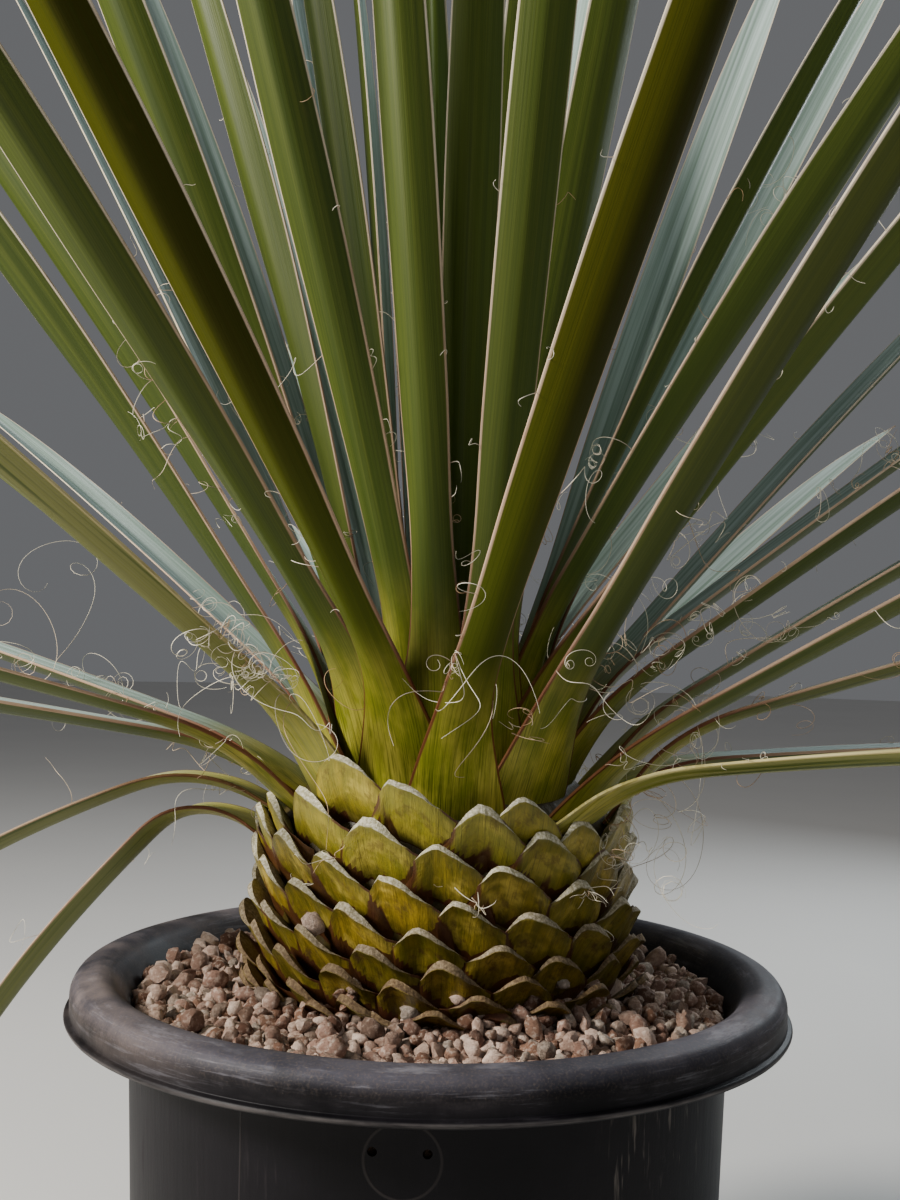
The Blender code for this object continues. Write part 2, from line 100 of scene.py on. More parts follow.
# Points of a base's section, as shares of the way up its outer face, over its cut and down its back
UP_FACE = np.array([0, 0.14, 0.28, 0.42, 0.52, 0.62, 0.71, 0.79, 0.86, 0.92, 0.97, 1])
OVER_CUT = np.array([0.1, 0.4, 0.72, 1])
DOWN_BACK = np.array([0.35, 0.75, 1])

# Spiral order, counted upwards from the trimmed base in the middle of the front
GOLDEN_ANGLE = 137.508
UPPER_ANGLE = 137.6
FRONT_AZIMUTH = 0.9
LOWEST_BASE = -105
CROWN_FOOT = 25
LAST_LIVE_LEAF = 75
YOUNGEST = 82
TRIMMED_HIGH_UP = {26: 0.013, 29: 0}

# Stubs that carry an old leaf: radius of the leaf's foot, and the share of its lean that it starts with
STUBS = {6: (0.0965, 0.5), 18: (0.0905, 0.7), 19: (0.0905, 0.6), 23: (0.0905, 0.5), 24: (0.0905, 0.65)}

# Crown's cone: the lowest leaf's foot, and how far each foot is above and inside the last
CROWN_RADIUS = 0.0839
CROWN_HEIGHT = 0.0945
CROWN_STEP = 0.0011

# Leaves: measures of the full-grown ones, and how young, old and overhanging ones differ
LEAF_LENGTH = 0.58
YOUNG_SHORTER = 0.15
YOUNG_LEAF_LENGTH = 0.43
OVERHANGING_LENGTH = 0.4
FOOT_HALF_WIDTH = 0.022
OLD_NARROWER = 0.005
FOOT_THICKNESS = 0.0068
NECK_HALF_WIDTH = 0.0112
BLADE_HALF_WIDTH = 0.0126
BEND_LENGTH = 0.085
TIP_DROOP = 4
TURN_START = 0.045
TURN_LENGTH = 0.25
YOUNG_FROM = 58
YOUNGEST_UPRIGHT = 79
# Leaves valued below this are painted as in shade and take a finish with less gloss
PAINTED_SHADE_BELOW = -0.5
LEAF_ROWS = 66
LEAF_COLUMNS = 13

# Stations along a leaf, as shares of its length
STATIONS = (-0.03, 0, 0.04, 0.085, 0.15, 0.3, 0.56, 0.82, 1)

# Live leaves that stand out from the rule: place on the spiral, lean and swing in degrees
STANDING_OUT = {
    6: (130, -20), 18: (81, 0), 19: (111, -8), 23: (72, -5), 24: (75, -2), 27: (74, 10),
    28: (87, -10), 31: (60, 12), 32: (81, 8), 33: (63, 0), 34: (37, 20), 36: (58, -6),
    37: (56, 8), 39: (40, 3), 41: (45, -7), 42: (36, -23), 44: (54, 6), 45: (36, -6),
    46: (48, -20), 47: (17, -2), 48: (30, 6), 49: (54, 3), 50: (40, -6), 52: (43, 3),
    54: (22, -6), 55: (13, -14), 57: (33, 3), 58: (23, 0), 60: (17, 5), 62: (28, 5),
    63: (20, -12), 65: (34, 0), 70: (25, -3), 71: (11, 0), 73: (3, 0), 74: (4, 0),
}

# Leaves that droop more than the rest: place on the spiral and degrees at the tip
DROOPING = {6: 20, 18: 24, 19: 46, 28: 12}

# Leaves that turn about their own midline: place on the spiral and turn in degrees
TURNED = {42: 20, 45: 35, 50: 25, 53: 30, 54: 30, 58: 30, 61: -30, 62: 30, 63: 25, 65: -25, 66: 35, 70: -30}

# How far leaves have yellowed, from 0 to 1. Below 0 a leaf is painted as in shade: darker and browner than
# the rest, its right half darker still.
YELLOWING_AND_PAINTED_SHADE = {
    6: 0.5, 18: 1, 19: 0.6, 23: 0.5, 25: 0.5, 31: 0.3, 34: -1, 36: 0.3, 37: 0.9, 39: -0.4, 40: 0.5, 42: -0.8,
}

# Bed under the stones: its underside by LIP, its depth at the stem and its fall to the wall
BED_UNDERSIDE = -0.0115
BED_DEPTH = 0.015
BED_FALL = 0.0035

# Stones that are dropped on the bed, how they settle, and how they are heaped in front of the stem
STONES = 1900
STONE_RADIUS = 0.0021
STONE_SPREAD = 0.0046
STONE_FACES = 9
STONE_EDGES = 12
SETTLING_ROUNDS = 90
SETTLING_DROP = 0.0004
NEIGHBOUR_REACH = 0.016
TOUCHING = 0.84
STEM_CLEARANCE = 0.0045
HEAP_HEIGHT = 0.0092
HEAP_RADIUS = 0.128
HEAP_SLOPE = 0.04
HEAP_FRONT = 0.06

# Stones caught on the stem: how far from its axis, and each one's azimuth, height and size
CAUGHT_RADIUS = 0.0915
CAUGHT_STONES = (
    (-25.8, 0.0273, 0.004), (-27.3, 0.0202, 0.0045), (48.5, 0.0239, 0.0034), (-39.9, 0.053, 0.0052),
    (-29.7, 0.0228, 0.0034), (3.8, 0.0245, 0.0036), (-8.7, 0.019, 0.0048), (24.7, 0.021, 0.0046),
    (36.3, 0.0275, 0.0036), (128, 0.031, 0.0042), (171, 0.026, 0.0036), (-121, 0.029, 0.0044),
)

# Dry threads: points along one, its radius, and the radius of those in tangles
THREAD_STEPS = 52
THREAD_RADIUS = 0.00017
TANGLED_THREAD_RADIUS = 0.00018

# Threads on every leaf's margins: how many, where along it, shortest and longest, least and most turning
MARGIN_THREADS = (
    (4, (0.05, 0.33), (0.005, 0.018), (2, 6)),
    (2, (0.02, 0.2), (0.025, 0.08), (6, 20)),
)

# Tangles of threads: azimuth in degrees, radius, height and spread in millimetres, number of threads,
# shortest and longest in millimetres, turning
TANGLES = (
    (-41, 133, 180, 16, 20, 40, 120, 24), (-45, 128, 155, 10, 8, 30, 70, 18),
    (-8, 120, 177, 8, 7, 12, 32, 7), (-28, 122, 158, 10, 4, 60, 90, 5), (2, 122, 146, 12, 5, 60, 100, 5),
    (58, 116, 208, 12, 12, 40, 100, 22), (50, 105, 180, 14, 12, 40, 110, 16),
    (38, 105, 150, 12, 8, 30, 80, 12), (65, 145, 255, 16, 8, 50, 120, 16),
    (75, 152, 180, 18, 16, 40, 100, 20), (63, 125, 100, 16, 12, 110, 220, 22),
    (60, 108, 85, 8, 9, 40, 90, 18), (44, 102, 64, 5, 16, 8, 18, 5), (-112, 210, 182, 30, 10, 90, 200, 16),
    (-80, 114, 108, 12, 8, 40, 100, 14), (-51, 193, 273, 10, 8, 20, 50, 9), (4, 100, 67, 8, 5, 14, 28, 7),
    (-35, 100, 80, 8, 5, 14, 26, 9), (100, 175, 456, 20, 5, 50, 110, 14),
    (97, 232, 295, 20, 12, 30, 80, 14), (150, 140, 190, 30, 14, 50, 130, 18),
    (-150, 135, 170, 30, 14, 50, 130, 18), (120, 110, 110, 20, 10, 50, 120, 18),
    (180, 105, 90, 20, 10, 40, 100, 16),
)

# Studio: its round floor, what the lamps aim at, and the camera's place, angles in radians and lens
GROUND_RADIUS = 8
GROUND_SIDES = 128
LIT_MIDDLE = (0, 0, 0.4)
CAMERA_PLACE = (0, -0.7196, LIP + 0.1939)
CAMERA_ASIDE = 0.0081
CAMERA_UPWARD = 0.0137
CAMERA_ROLL = 0.0234
CAMERA_LENS = 42

Shape = namedtuple("Shape", "layers quads fans")
Leaf = namedtuple("Leaf", "place lean swing opening radius height length half thick")


def rgb(red, green, blue):
    """Colour as the shader takes it, from 0 to 255 as the eye sees it."""
    parts = np.array([red, green, blue]) / 255
    linear = np.where(parts > 0.04045, ((parts + 0.055) / 1.055) ** 2.4, parts / 12.92)
    return (*[float(part) for part in linear], 1)


# Shapes

def ease(x):
    """0 below 0, 1 above 1 and 3x^2 - 2x^3 between."""
    x = np.clip(x, 0, 1)
    return x * x * (3 - 2 * x)


def unit(vectors):
    return vectors / np.linalg.norm(vectors, axis=-1, keepdims=True)


def full_turn(count):
    """Angles of points spread evenly round a full turn."""
    return np.linspace(0, TAU, count, endpoint=False)


def shares_across(count):
    """Shares from -1 to 1 across a section, closer together towards both ends."""
    return np.sin(np.linspace(-0.5 * math.pi, 0.5 * math.pi, count))[None]


def through(stations, values, x):
    """Smooth curve through values at stations: cubic pieces that share their slopes."""
    at = np.asarray(stations, float)
    y = np.asarray(values, float)
    slope = np.gradient(y, at)
    i = np.clip(np.searchsorted(at, x, side="right") - 1, 0, len(at) - 2)
    width = at[i + 1] - at[i]
    w = (x - at[i]) / width
    rising = w * w * (3 - 2 * w)
    bends = w * (1 - w) ** 2 * slope[i] - w * w * (1 - w) * slope[i + 1]
    return y[i] * (1 - rising) + y[i + 1] * rising + width * bends


def at_points(grid, *values):
    """Three values at each point of a grid, each of which spreads over the grid."""
    return np.stack([np.broadcast_to(value, grid.shape[:-1]) for value in values], axis=-1)


def with_ends(grid):
    """Values on a grid as a list for each shape, which ends with the means of its first and last rings."""
    count, rows, ring = grid.shape[:3]
    ends = grid[:, [0, -1]].mean(axis=2)
    return np.concatenate([grid.reshape(count, rows * ring, -1), ends], axis=1)


def tubes(grid, lay=None, kind=None, loop=False):
    """Closed skins over grids of points (shapes, rows, ring, xyz).

    Quads join each ring to the next. A fan closes each end, or with loop the last ring joins the first.
    lay and kind are three values at each point.
    """
    count, rows, ring = grid.shape[:3]
    layers = [np.zeros(grid.shape) if values is None else values for values in (grid, lay, kind)]
    here = np.arange(ring)
    beside = (here + 1) % ring
    row = np.arange(rows if loop else rows - 1)[:, None]
    below = row * ring
    above = (row + 1) % rows * ring
    quads = np.stack([below + here, below + beside, above + beside, above + here], axis=-1).reshape(-1, 4)
    if loop:
        layers = [values.reshape(count, rows * ring, 3) for values in layers]
        fans = np.zeros((0, 3), int)
    else:
        layers = [with_ends(values) for values in layers]
        last = (rows - 1) * ring
        middle = np.full(ring, rows * ring)
        fans = np.concatenate([
            np.stack([beside, here, middle], axis=1),
            np.stack([last + here, last + beside, middle + 1], axis=1),
        ])
    shift = layers[0].shape[1] * np.arange(count)[:, None, None]
    return Shape(
        [values.reshape(-1, 3) for values in layers],
        (quads[None] + shift).reshape(-1, 4),
        (fans[None] + shift).reshape(-1, 3),
    )


def joined(*shapes):
    """Several shapes as one: their points in a row, and their faces counted on."""
    starts = np.cumsum([0] + [len(shape.layers[0]) for shape in shapes])
    return Shape(
        [np.concatenate(values) for values in zip(*[shape.layers for shape in shapes])],
        np.concatenate([shape.quads + start for shape, start in zip(shapes, starts)]),
        np.concatenate([shape.fans + start for shape, start in zip(shapes, starts)]),
    )


def in_scene(name, data):
    """A new object in the scene."""
    thing = bpy.data.objects.new(name, data)
    bpy.context.scene.collection.objects.link(thing)
    return thing


def new_piece(name, shape, material, sharp_angle=45):
    """A mesh object from whole arrays, with the values lay and kind at each point."""
    mesh = bpy.data.meshes.new(name)
    mesh.from_pydata(shape.layers[0].tolist(), [], shape.quads.tolist() + shape.fans.tolist())
    for label, values in zip(("lay", "kind"), shape.layers[1:]):
        layer = mesh.attributes.new(label, "FLOAT_VECTOR", "POINT")
        layer.data.foreach_set("vector", values.astype(np.float32).ravel())
    turned_out = bmesh.new()
    turned_out.from_mesh(mesh)
    bmesh.ops.recalc_face_normals(turned_out, faces=turned_out.faces)
    turned_out.to_mesh(mesh)
    turned_out.free()
    mesh.shade_smooth()
    mesh.set_sharp_from_angle(angle=math.radians(sharp_angle))
    mesh.materials.append(material)
    return in_scene(name, mesh)


def polar(radius, azimuth, height):
    """Points from a radius, an azimuth from the front towards +X, and a height above the stem's origin."""
    radius, azimuth, height = np.broadcast_arrays(radius, azimuth, height)
    return np.stack([radius * np.sin(azimuth), -radius * np.cos(azimuth), height], axis=-1) + STEM_AXIS


def turned(outline, steps):
    """Grid of an outline (radius, height) turned round the stem's axis, and the azimuths of its columns."""
    outline = np.array(outline)
    azimuth = full_turn(steps)[None]
    return polar(outline[:, :1], azimuth, outline[:, 1:])[None], azimuth


def outwards(points):
    """Level vectors from the stem's axis to the points."""
    return (points - STEM_AXIS) * np.array([1, 1, 0])


def rolling(points, rng, wavelength):
    """Smooth random field from -1 to 1 at the points: the mean of four sines in random directions."""
    fields = 0
    for _ in range(4):
        direction = rng.normal(size=3)
        direction *= TAU / wavelength / np.linalg.norm(direction)
        fields = fields + np.sin(points @ direction + rng.uniform(0, TAU))
    return fields / 4


# Finishes

def worked_out(operation):
    """A method that adds the Math node for this operation."""
    return lambda wire, other: wire.finish.math(operation, wire, other)


class Wire:
    """A socket whose sums, products and powers add the Math nodes that work them out."""

    def __init__(self, finish, socket):
        self.finish = finish
        self.socket = socket

    def __rsub__(self, other):
        return self.finish.math("SUBTRACT", other, self)

    __add__ = __radd__ = worked_out("ADD")
    __sub__ = worked_out("SUBTRACT")
    __mul__ = __rmul__ = worked_out("MULTIPLY")
    __pow__ = worked_out("POWER")

    def apart(self, level):
        """How far the value is from a level, whichever way."""
        return self.finish.math("ABSOLUTE", self - level, 0)

    def step(self, low, high):
        """Smooth step of the value from 0 at low to 1 at high."""
        inputs = {"Value": self, "From Min": low, "From Max": high}
        return self.finish.node("ShaderNodeMapRange", {"interpolation_type": "SMOOTHSTEP"}, inputs)


class Finish:
    """A material under construction, on one principled shader."""

    def __init__(self, name, constants):
        self.material = bpy.data.materials.new(name)
        self.material.use_nodes = True
        self.shader = self.material.node_tree.nodes["Principled BSDF"]
        for socket, value in constants.items():
            self.shader.inputs[socket].default_value = value

    def feed(self, socket, value):
        if isinstance(value, Wire):
            self.material.node_tree.links.new(value.socket, socket)
        else:
            socket.default_value = value

    def node(self, kind, settings=None, inputs=None, output=0):
        """Adds a node: its settings first, then the values or links of its sockets."""
        node = self.material.node_tree.nodes.new(kind)
        for key, value in (settings or {}).items():
            setattr(node, key, value)
        for key, value in (inputs or {}).items():
            self.feed(node.inputs[key], value)
        return Wire(self, node.outputs[output])

    def math(self, operation, first, second):
        return self.node("ShaderNodeMath", {"operation": operation}, {0: first, 1: second})

    def place(self):
        """Object coordinates."""
        return self.node("ShaderNodeTexCoord", output="Object")

    def values(self, label):
        """The three values that a piece keeps at each point under this label."""
        return self.parts(self.node("ShaderNodeAttribute", {"attribute_name": label}, output="Vector"))

    def parts(self, vector):
        split = self.node("ShaderNodeSeparateXYZ", inputs={0: vector}).socket.node
        return [Wire(self, socket) for socket in split.outputs]

    def noise(self, vector, scale, detail, roughness=0.5):
        inputs = {"Vector": vector, "Scale": scale, "Detail": detail, "Roughness": roughness}
        return self.node("ShaderNodeTexNoise", inputs=inputs)

    def stretched(self, x, y, z, detail, roughness):
        """Noise at a place given by its parts, each of which has its own scale."""
        place = self.node("ShaderNodeCombineXYZ", inputs={0: x, 1: y, 2: z})
        return self.noise(place, 1, detail, roughness)

    def mix(self, share, first, second, blend="MIX"):
        """Colour between first and second by share. Each is a wire, or red, green and blue from 0 to 255."""
        first, second = [colour if isinstance(colour, Wire) else rgb(*colour) for colour in (first, second)]
        settings = {"data_type": "RGBA", "blend_type": blend}
        return self.node("ShaderNodeMix", settings, {0: share, 6: first, 7: second}, output=2)

    def coated(self, colour, *coats):
        """Colour under coats laid on in turn, each given as its share and its own colour."""
        for share, coat in coats:
            colour = self.mix(share, colour, coat)
        return colour

    def bump(self, height, distance, strength=1, below=None):
        inputs = {"Height": height, "Distance": distance, "Strength": strength}
        if below:
            inputs["Normal"] = below
        return self.node("ShaderNodeBump", inputs=inputs)

    def done(self, colour, roughness=None, normal=None):
        for socket, value in (("Base Color", colour), ("Roughness", roughness), ("Normal", normal)):
            if value:
                self.feed(self.shader.inputs[socket], value)
        return self.material


def plastic_finish():
    """Near-black moulded plastic: bluish dust on the rim, a painted sheen on the rim's top, scuffs, a moulded
    ring and seam, fine scratches.
    """
    f = Finish("black_plastic", {"Specular IOR Level": 0.14})
    place = f.place()
    x, y, height = f.parts(place)
    cloud = f.noise(place, 14, 5, 0.65)
    grain = f.noise(place, 900, 3, 0.6)
    smear = f.stretched(x * 16, y * 16, height * 95, 4, 0.7)
    drag = f.stretched(x * 230, y * 230, height * 22, 3, 0.55)
    streak = f.stretched(x * 24, y * 24, height * 420, 5, 0.75)
    runs = f.stretched(x * 420, 0, height * 30, 3, 0.6)
    patches = cloud.step(0.3, 0.7)
    on_rim = height.step(LIP - 0.004, LIP + 0.016)
    # upper marks the rim's top face, which gets a painted sheen
    upper = height.step(LIP + 0.0085, LIP + 0.0165)
    in_mouth = height.step(LIP + 0.004, LIP + 0.0165)
    left = 1 - x.step(-0.16, -0.06) * 0.75 + x.step(0.1, 0.16) * 0.35
    front = 1 - y.step(-0.01, 0.01)
    wiped = on_rim * streak.step(0.5, 0.66) * cloud.step(0.38, 0.6)
    dust = on_rim * cloud.step(0.36, 0.66) * left + on_rim * smear.step(0.5, 0.74) * 0.35
    edge = height.step(LIP - 0.0018, LIP - 0.001) * (1 - height.step(LIP - 0.0004, LIP + 0.0006))
    scuff = drag.step(0.6, 0.72) * cloud.step(0.46, 0.66)
    off_middle = ((x - RING_MIDDLE[0]) ** 2 + (height - RING_MIDDLE[1]) ** 2) ** 0.5
    ring = front * (1 - off_middle.apart(RING_RADIUS).step(0.0002, 0.0009))
    seam = front * (1 - x.apart(SEAM_SIDE).step(0.0001, 0.0006))
    seam = seam * (1 - height.step(LIP - 0.004, LIP - 0.003))
    spill = x.step(0.07, 0.084) * (1 - x.step(0.112, 0.128)) * front
    spill = spill * height.step(0.165, 0.185) * (1 - height.step(0.212, 0.226)) * runs.step(0.55, 0.68)
    colour = f.coated(
        f.mix(patches, (7, 6, 9), (18, 16, 20)),
        # Painted sheen: the rim's top lighter and bluish, patchy with the cloud noise
        (upper * (0.35 + patches * 0.45), (84, 83, 94)),
        (dust * (0.45 + grain * 0.3), f.mix(left, (84, 82, 90), (140, 126, 120))),
        (wiped * 0.5, (144, 142, 150)),
        (grain.step(0.7, 0.76) * on_rim * 0.25, (150, 138, 128)),
        (scuff * 0.14, (78, 70, 72)),
        (edge * smear.step(0.3, 0.7) * 0.6, (120, 114, 112)),
        (in_mouth * grain.step(0.45, 0.75) * 0.22, (128, 112, 96)),
        (spill * 0.45, (128, 120, 112)),
        (ring * 0.3 + seam * 0.25, (72, 66, 64)),
    )
    rough = 0.4 + dust * 0.3 + cloud * 0.16 + scuff * 0.15
    skin = f.bump(grain, 0.00012, 0.5)
    worn = f.bump(drag + smear * 0.6 + ring + seam, 0.0004, 0.35, skin)
    return f.done(colour, rough, worn)


def soil_finish():
    """Dark bark and peat: crumbs in two browns."""
    f = Finish("potting_soil", {"Roughness": 0.95})
    crumbs = f.noise(f.place(), 260, 6, 0.7)
    colour = f.mix(crumbs.step(0.35, 0.7), (34, 24, 17), (96, 72, 52))
    return f.done(colour, normal=f.bump(crumbs, 0.002))


def pumice_finish():
    """Rough stones in pink, tan, grey and brown, with pores darkened by painted shade, and pale spots.

    kind holds a tone and a shade for each stone, and 1 on the bed.
    """
    f = Finish("pumice", {"Specular IOR Level": 0.25})
    place = f.place()
    tone, shade, bed = f.values("kind")
    grain = f.noise(place, 900, 5, 0.7)
    spots = f.noise(place, 420, 3, 0.6)
    pores = f.node("ShaderNodeTexVoronoi", inputs={"Vector": place, "Scale": 1300})
    colour = f.coated(
        f.mix(tone.step(0.05, 0.45), (156, 124, 108), (216, 190, 172)),
        (tone.step(0.45, 0.6), (132, 98, 78)),
        (tone.step(0.7, 0.78), (158, 144, 130)),
        (tone.step(0.88, 0.93), (112, 82, 66)),
        (spots.step(0.48, 0.68) * 0.5, (232, 214, 198)),
        (spots.step(0.52, 0.3) * 0.35, (112, 80, 64)),
        # Dark dots at the pores: painted shade inside them
        ((1 - pores.step(0.08, 0.3)) * 0.45, (84, 60, 48)),
    )
    colour = f.mix(shade.step(0.35, 1) * 0.55, colour, (138, 112, 96), "MULTIPLY")
    colour = f.mix(bed, colour, (52, 38, 30))
    rough = f.bump(grain + pores.step(0, 0.3) * 0.8, 0.0009)
    return f.done(colour, 0.82 + grain * 0.15, rough)


def stem_finish():
    """Trimmed leaf bases: olive-gold skin with fine upright streaks, brown stains and margins, pale cuts,
    painted highlight patches on the upper rows, and painted shade under the lips of low rows and on the low
    part of each face.

    lay holds the distance across, the distance below the cut and the height above the neighbours' faces.
    kind holds 1 on the cut, a tone for each base, and the height of its row from 0 to 1.
    """
    f = Finish("leaf_base", {"Specular IOR Level": 0.4})
    across, below, rim = f.values("lay")
    cut, tone, row = f.values("kind")
    seed = tone * 40
    streaks = f.stretched(across * 1500, below * 60, seed, 3, 0.65)
    broad = f.stretched(across * 260, below * 75, seed + 9, 3, 0.6)
    stains = f.stretched(across * 110, below * 120, seed + 20, 5, 0.72)
    # Noise for the painted highlights: light patches on the faces
    painted_highlights = f.stretched(across * 55, below * 80, seed + 31, 3, 0.6)
    specks = f.noise(f.place(), 700, 4, 0.65)
    speckled = specks.step(0.35, 0.7)
    brown = stains.step(0.5, 0.68) * (0.9 - row.step(0.2, 1) * 0.4)
    low = 1 - row.step(0.1, 0.65)
    margin = 1 - (rim + (stains - 0.5) * 0.001).step(0.0004, 0.0012)
    skin = f.coated(
        f.mix(broad.step(0.3, 0.7), (96, 84, 8), (150, 126, 26)),
        # Painted highlights: light patches, stronger on the upper rows
        (painted_highlights.step(0.46, 0.66) * (0.5 + row.step(0.4, 0.9) * 0.35), (204, 178, 76)),
        (tone.step(0.3, 0.9) * 0.4, (88, 92, 16)),
        (row.step(0.8, 1) * 0.45, (150, 146, 44)),
        (streaks.step(0.5, 0.7) * 0.45, (62, 58, 12)),
        (below.step(0.005, 0) * 0.4, (66, 66, 26)),
        (brown, (74, 48, 18)),
        # Painted shade under the curled lips of the low rows
        (low * below.step(0.003, 0.015) * 0.7, (46, 34, 6)),
        (low * specks.step(0.45, 0.65) * 0.6, (70, 50, 28)),
        # Painted shade on the low part of every face, where it goes under the row below
        (below.step(0.014, 0.03) * 0.75, (40, 32, 10)),
        (margin * 0.9, (72, 34, 20)),
    )
    fresh = f.mix(speckled, (150, 144, 112), (216, 210, 190))
    aged = f.mix(speckled, (80, 60, 38), (132, 110, 78))
    sawn = f.coated(
        f.mix(row.step(0.25, 0.85), aged, fresh),
        (streaks.step(0.55, 0.75) * 0.55, (88, 74, 48)),
        (margin * 0.85, (84, 46, 28)),
    )
    rough = 0.42 + brown * 0.3 + cut * 0.4
    fibres = f.bump(streaks, 0.0004, 0.5)
    lumps = f.bump(broad + stains + specks * cut * 0.8, 0.0011, 0.5, fibres)
    return f.done(f.mix(cut, skin, sawn), rough, lumps)


def leaf_finish(name, fresh, gloss=0.24):
    """A stiff leaf: streaked foot, olive blade with fine lines, a glaucous coat inside painted lighter as if
    lit, dry margins and tip, and painted shade on chosen leaves.

    lay holds the distance across, the distance along and the distance from the margin.
    kind holds 1 on the upper face, a tone for each leaf, and how far it has yellowed; below 0 this is the
    depth of a painted shade.
    """
    f = Finish(name, {"Specular IOR Level": gloss})
    across, along, rim = f.values("lay")
    inner, tone, yellowing_and_painted_shade = f.values("kind")
    seed = tone * 50
    lines = f.stretched(across * 2300, along * 7, seed, 2, 0.6)
    bands = f.stretched(across * 420, along * 5, seed + 7, 2, 0.5)
    streaks = f.stretched(across * 1500, along * 38, seed + 3, 3, 0.6)
    blotch = f.stretched(across * 70, along * 26, seed + 13, 4, 0.6)
    half = across.apart(0) + rim
    foot = 1 - along.step(0.01, 0.095)
    margin = 1 - (rim - foot * 0.0004).step(0.0003, 0.0009)
    tip = (1 - half.step(0.0012, 0.003)) * along.step(0.3, 0.35)
    # Painted shade on leaves valued below 0, deeper further along
    painted_shade = yellowing_and_painted_shade.step(0, -1) * (0.45 + along.step(0.1, 0.26) * 0.55)
    # The glaucous coat of the upper face, its own colour painted lighter as if lit
    bloom_painted_lighter = f.mix(bands.step(0.3, 0.7), (136, 158, 146), (184, 202, 198))
    pale = f.mix(blotch.step(0.35, 0.65), (122, 126, 26), (176, 166, 66))
    cream = f.mix(lines.step(0.4, 0.6), (160, 156, 88), (194, 188, 128))
    dry = f.coated(
        f.mix(along.step(0.05, 0.14), (92, 46, 30), (184, 154, 128)),
        (along.step(0.16, 0.34), (214, 200, 176)),
        (streaks.step(0.52, 0.72) * 0.4, (128, 84, 60)),
        (yellowing_and_painted_shade.step(0.5, 1) * 0.7, cream),
    )
    colour = f.coated(
        f.mix(tone.step(0, 1), (50, 64, 8), (72, 84, 20)),
        (fresh, (78, 98, 30)),
        (along.step(0.3, 0.56) * 0.35, (80, 98, 42)),
        (bands.step(0.3, 0.75) * 0.35, (94, 102, 30)),
        # Glaucous upper face, painted lighter to stand in for light falling on it
        (inner * (1 - foot * 0.8) * 0.92, bloom_painted_lighter),
        # Painted shade: the whole leaf darker, its right half darker still
        (painted_shade * 0.8, (66, 62, 2)),
        (painted_shade * across.step(-0.004, 0.003) * 0.75, (30, 27, 1)),
        (foot, pale),
        (foot * streaks.step(0.47, 0.66) * 0.65, (58, 70, 6)),
        (yellowing_and_painted_shade.step(0, 1) * (0.35 + inner * 0.4) * bands.step(0.32, 0.5), cream),
        (lines.step(0.42, 0.62) * 0.3 * (1 - inner * 0.6), (42, 54, 8)),
        (blotch.step(0.66, 0.8) * 0.22, (98, 82, 40)),
        (margin * 0.92, dry),
        (tip * 0.8, (92, 62, 34)),
    )
    rough = 0.42 + bands * 0.12 + margin * 0.3 + inner * 0.14
    fine = f.bump(lines, 0.00022, 0.4)
    ribs = f.bump(bands + streaks * foot, 0.0005, 0.3, fine)
    return f.done(colour, rough, ribs)


def fibre_finish():
    """Dry leaf threads: cream, browner on some. kind holds the share along a thread and a tone for each."""
    f = Finish("dry_fibre", {"Roughness": 0.6, "Specular IOR Level": 0.35})
    along, tone = f.values("kind")[:2]
    colour = f.mix(tone.step(0.55, 1), (226, 218, 196), (176, 142, 104))
    return f.done(f.mix((1 - along.step(0, 0.2)) * 0.5, colour, (160, 112, 84)))


def floor_finish():
    f = Finish("pale_floor", {"Roughness": 0.85})
    return f.done(f.mix(f.noise(f.place(), 3, 3), (212, 210, 206), (220, 218, 214)))


# Pot

def rounded(corners):
    """Outline with each corner (radius, height, cut) replaced by a bow that starts a cut before it."""
    corners = np.array(corners)
    places = corners[:, :2]
    cuts = corners[1:-1, 2, None, None]
    before = unit(places[:-2] - places[1:-1])
    after = unit(places[2:] - places[1:-1])
    w = np.linspace(0, 1, 5)[None, :, None]
    bows = places[1:-1, None] + cuts * (before[:, None] * (1 - w) ** 2 + after[:, None] * w * w)
    return np.concatenate([places[:1], bows.reshape(-1, 2), places[-1:]])


def wall_radius(height):
    """Outer radius of the tapered wall."""
    return BASE_RADIUS + WALL_TAPER * height


def pot_piece(material):
    """The moulded pot: an outline of floor, wall and rolled rim turned round Z, with its holes cut."""
    outline = rounded([
        (0.002, POT_FLOOR, 0), (wall_radius(POT_FLOOR) - WALL - 0.001, POT_FLOOR, 0.004),
        (MOUTH_RADIUS, LIP, 0.002), *[(radius, LIP + above, cut) for radius, above, cut in RIM_CORNERS],
        (wall_radius(LIP) - 0.0001, LIP - 0.008, 0.003),
        *[(wall_radius(z), z, 0.0005) for z in PIN_HOLE_HEIGHT + np.array([0.005, -0.005, -0.04])],
        (wall_radius(0), 0, 0.003), (0.002, 0, 0),
    ])
    radius = outline[:, :1]
    angle = full_turn(POT_SIDES)[None]
    height = outline[:, 1:] + 0 * angle
    points = np.stack([radius * np.cos(angle), radius * np.sin(angle), height], axis=-1)
    points[..., 2] += rolling(points, np.random.default_rng(4), 0.25) * POT_SAG * ease((height - 0.02) / 0.1)
    pot = new_piece("pot_shell", tubes(points[None]), material, 50)
    drains = [
        ((DRAIN_CIRCLE * math.cos(turn), DRAIN_CIRCLE * math.sin(turn), 0), DRAIN_RADIUS, 0.02, 0)
        for turn in TAU * (np.arange(DRAIN_HOLES) + 0.5) / DRAIN_HOLES
    ]
    reach = -math.sqrt(wall_radius(PIN_HOLE_HEIGHT) ** 2 - PIN_HOLE_SIDES[0] ** 2)
    pins = [((side, reach, PIN_HOLE_HEIGHT), PIN_HOLE_RADIUS, 0.014, math.pi / 2) for side in PIN_HOLE_SIDES]
    cut_holes(pot, drains + pins)
    return pot


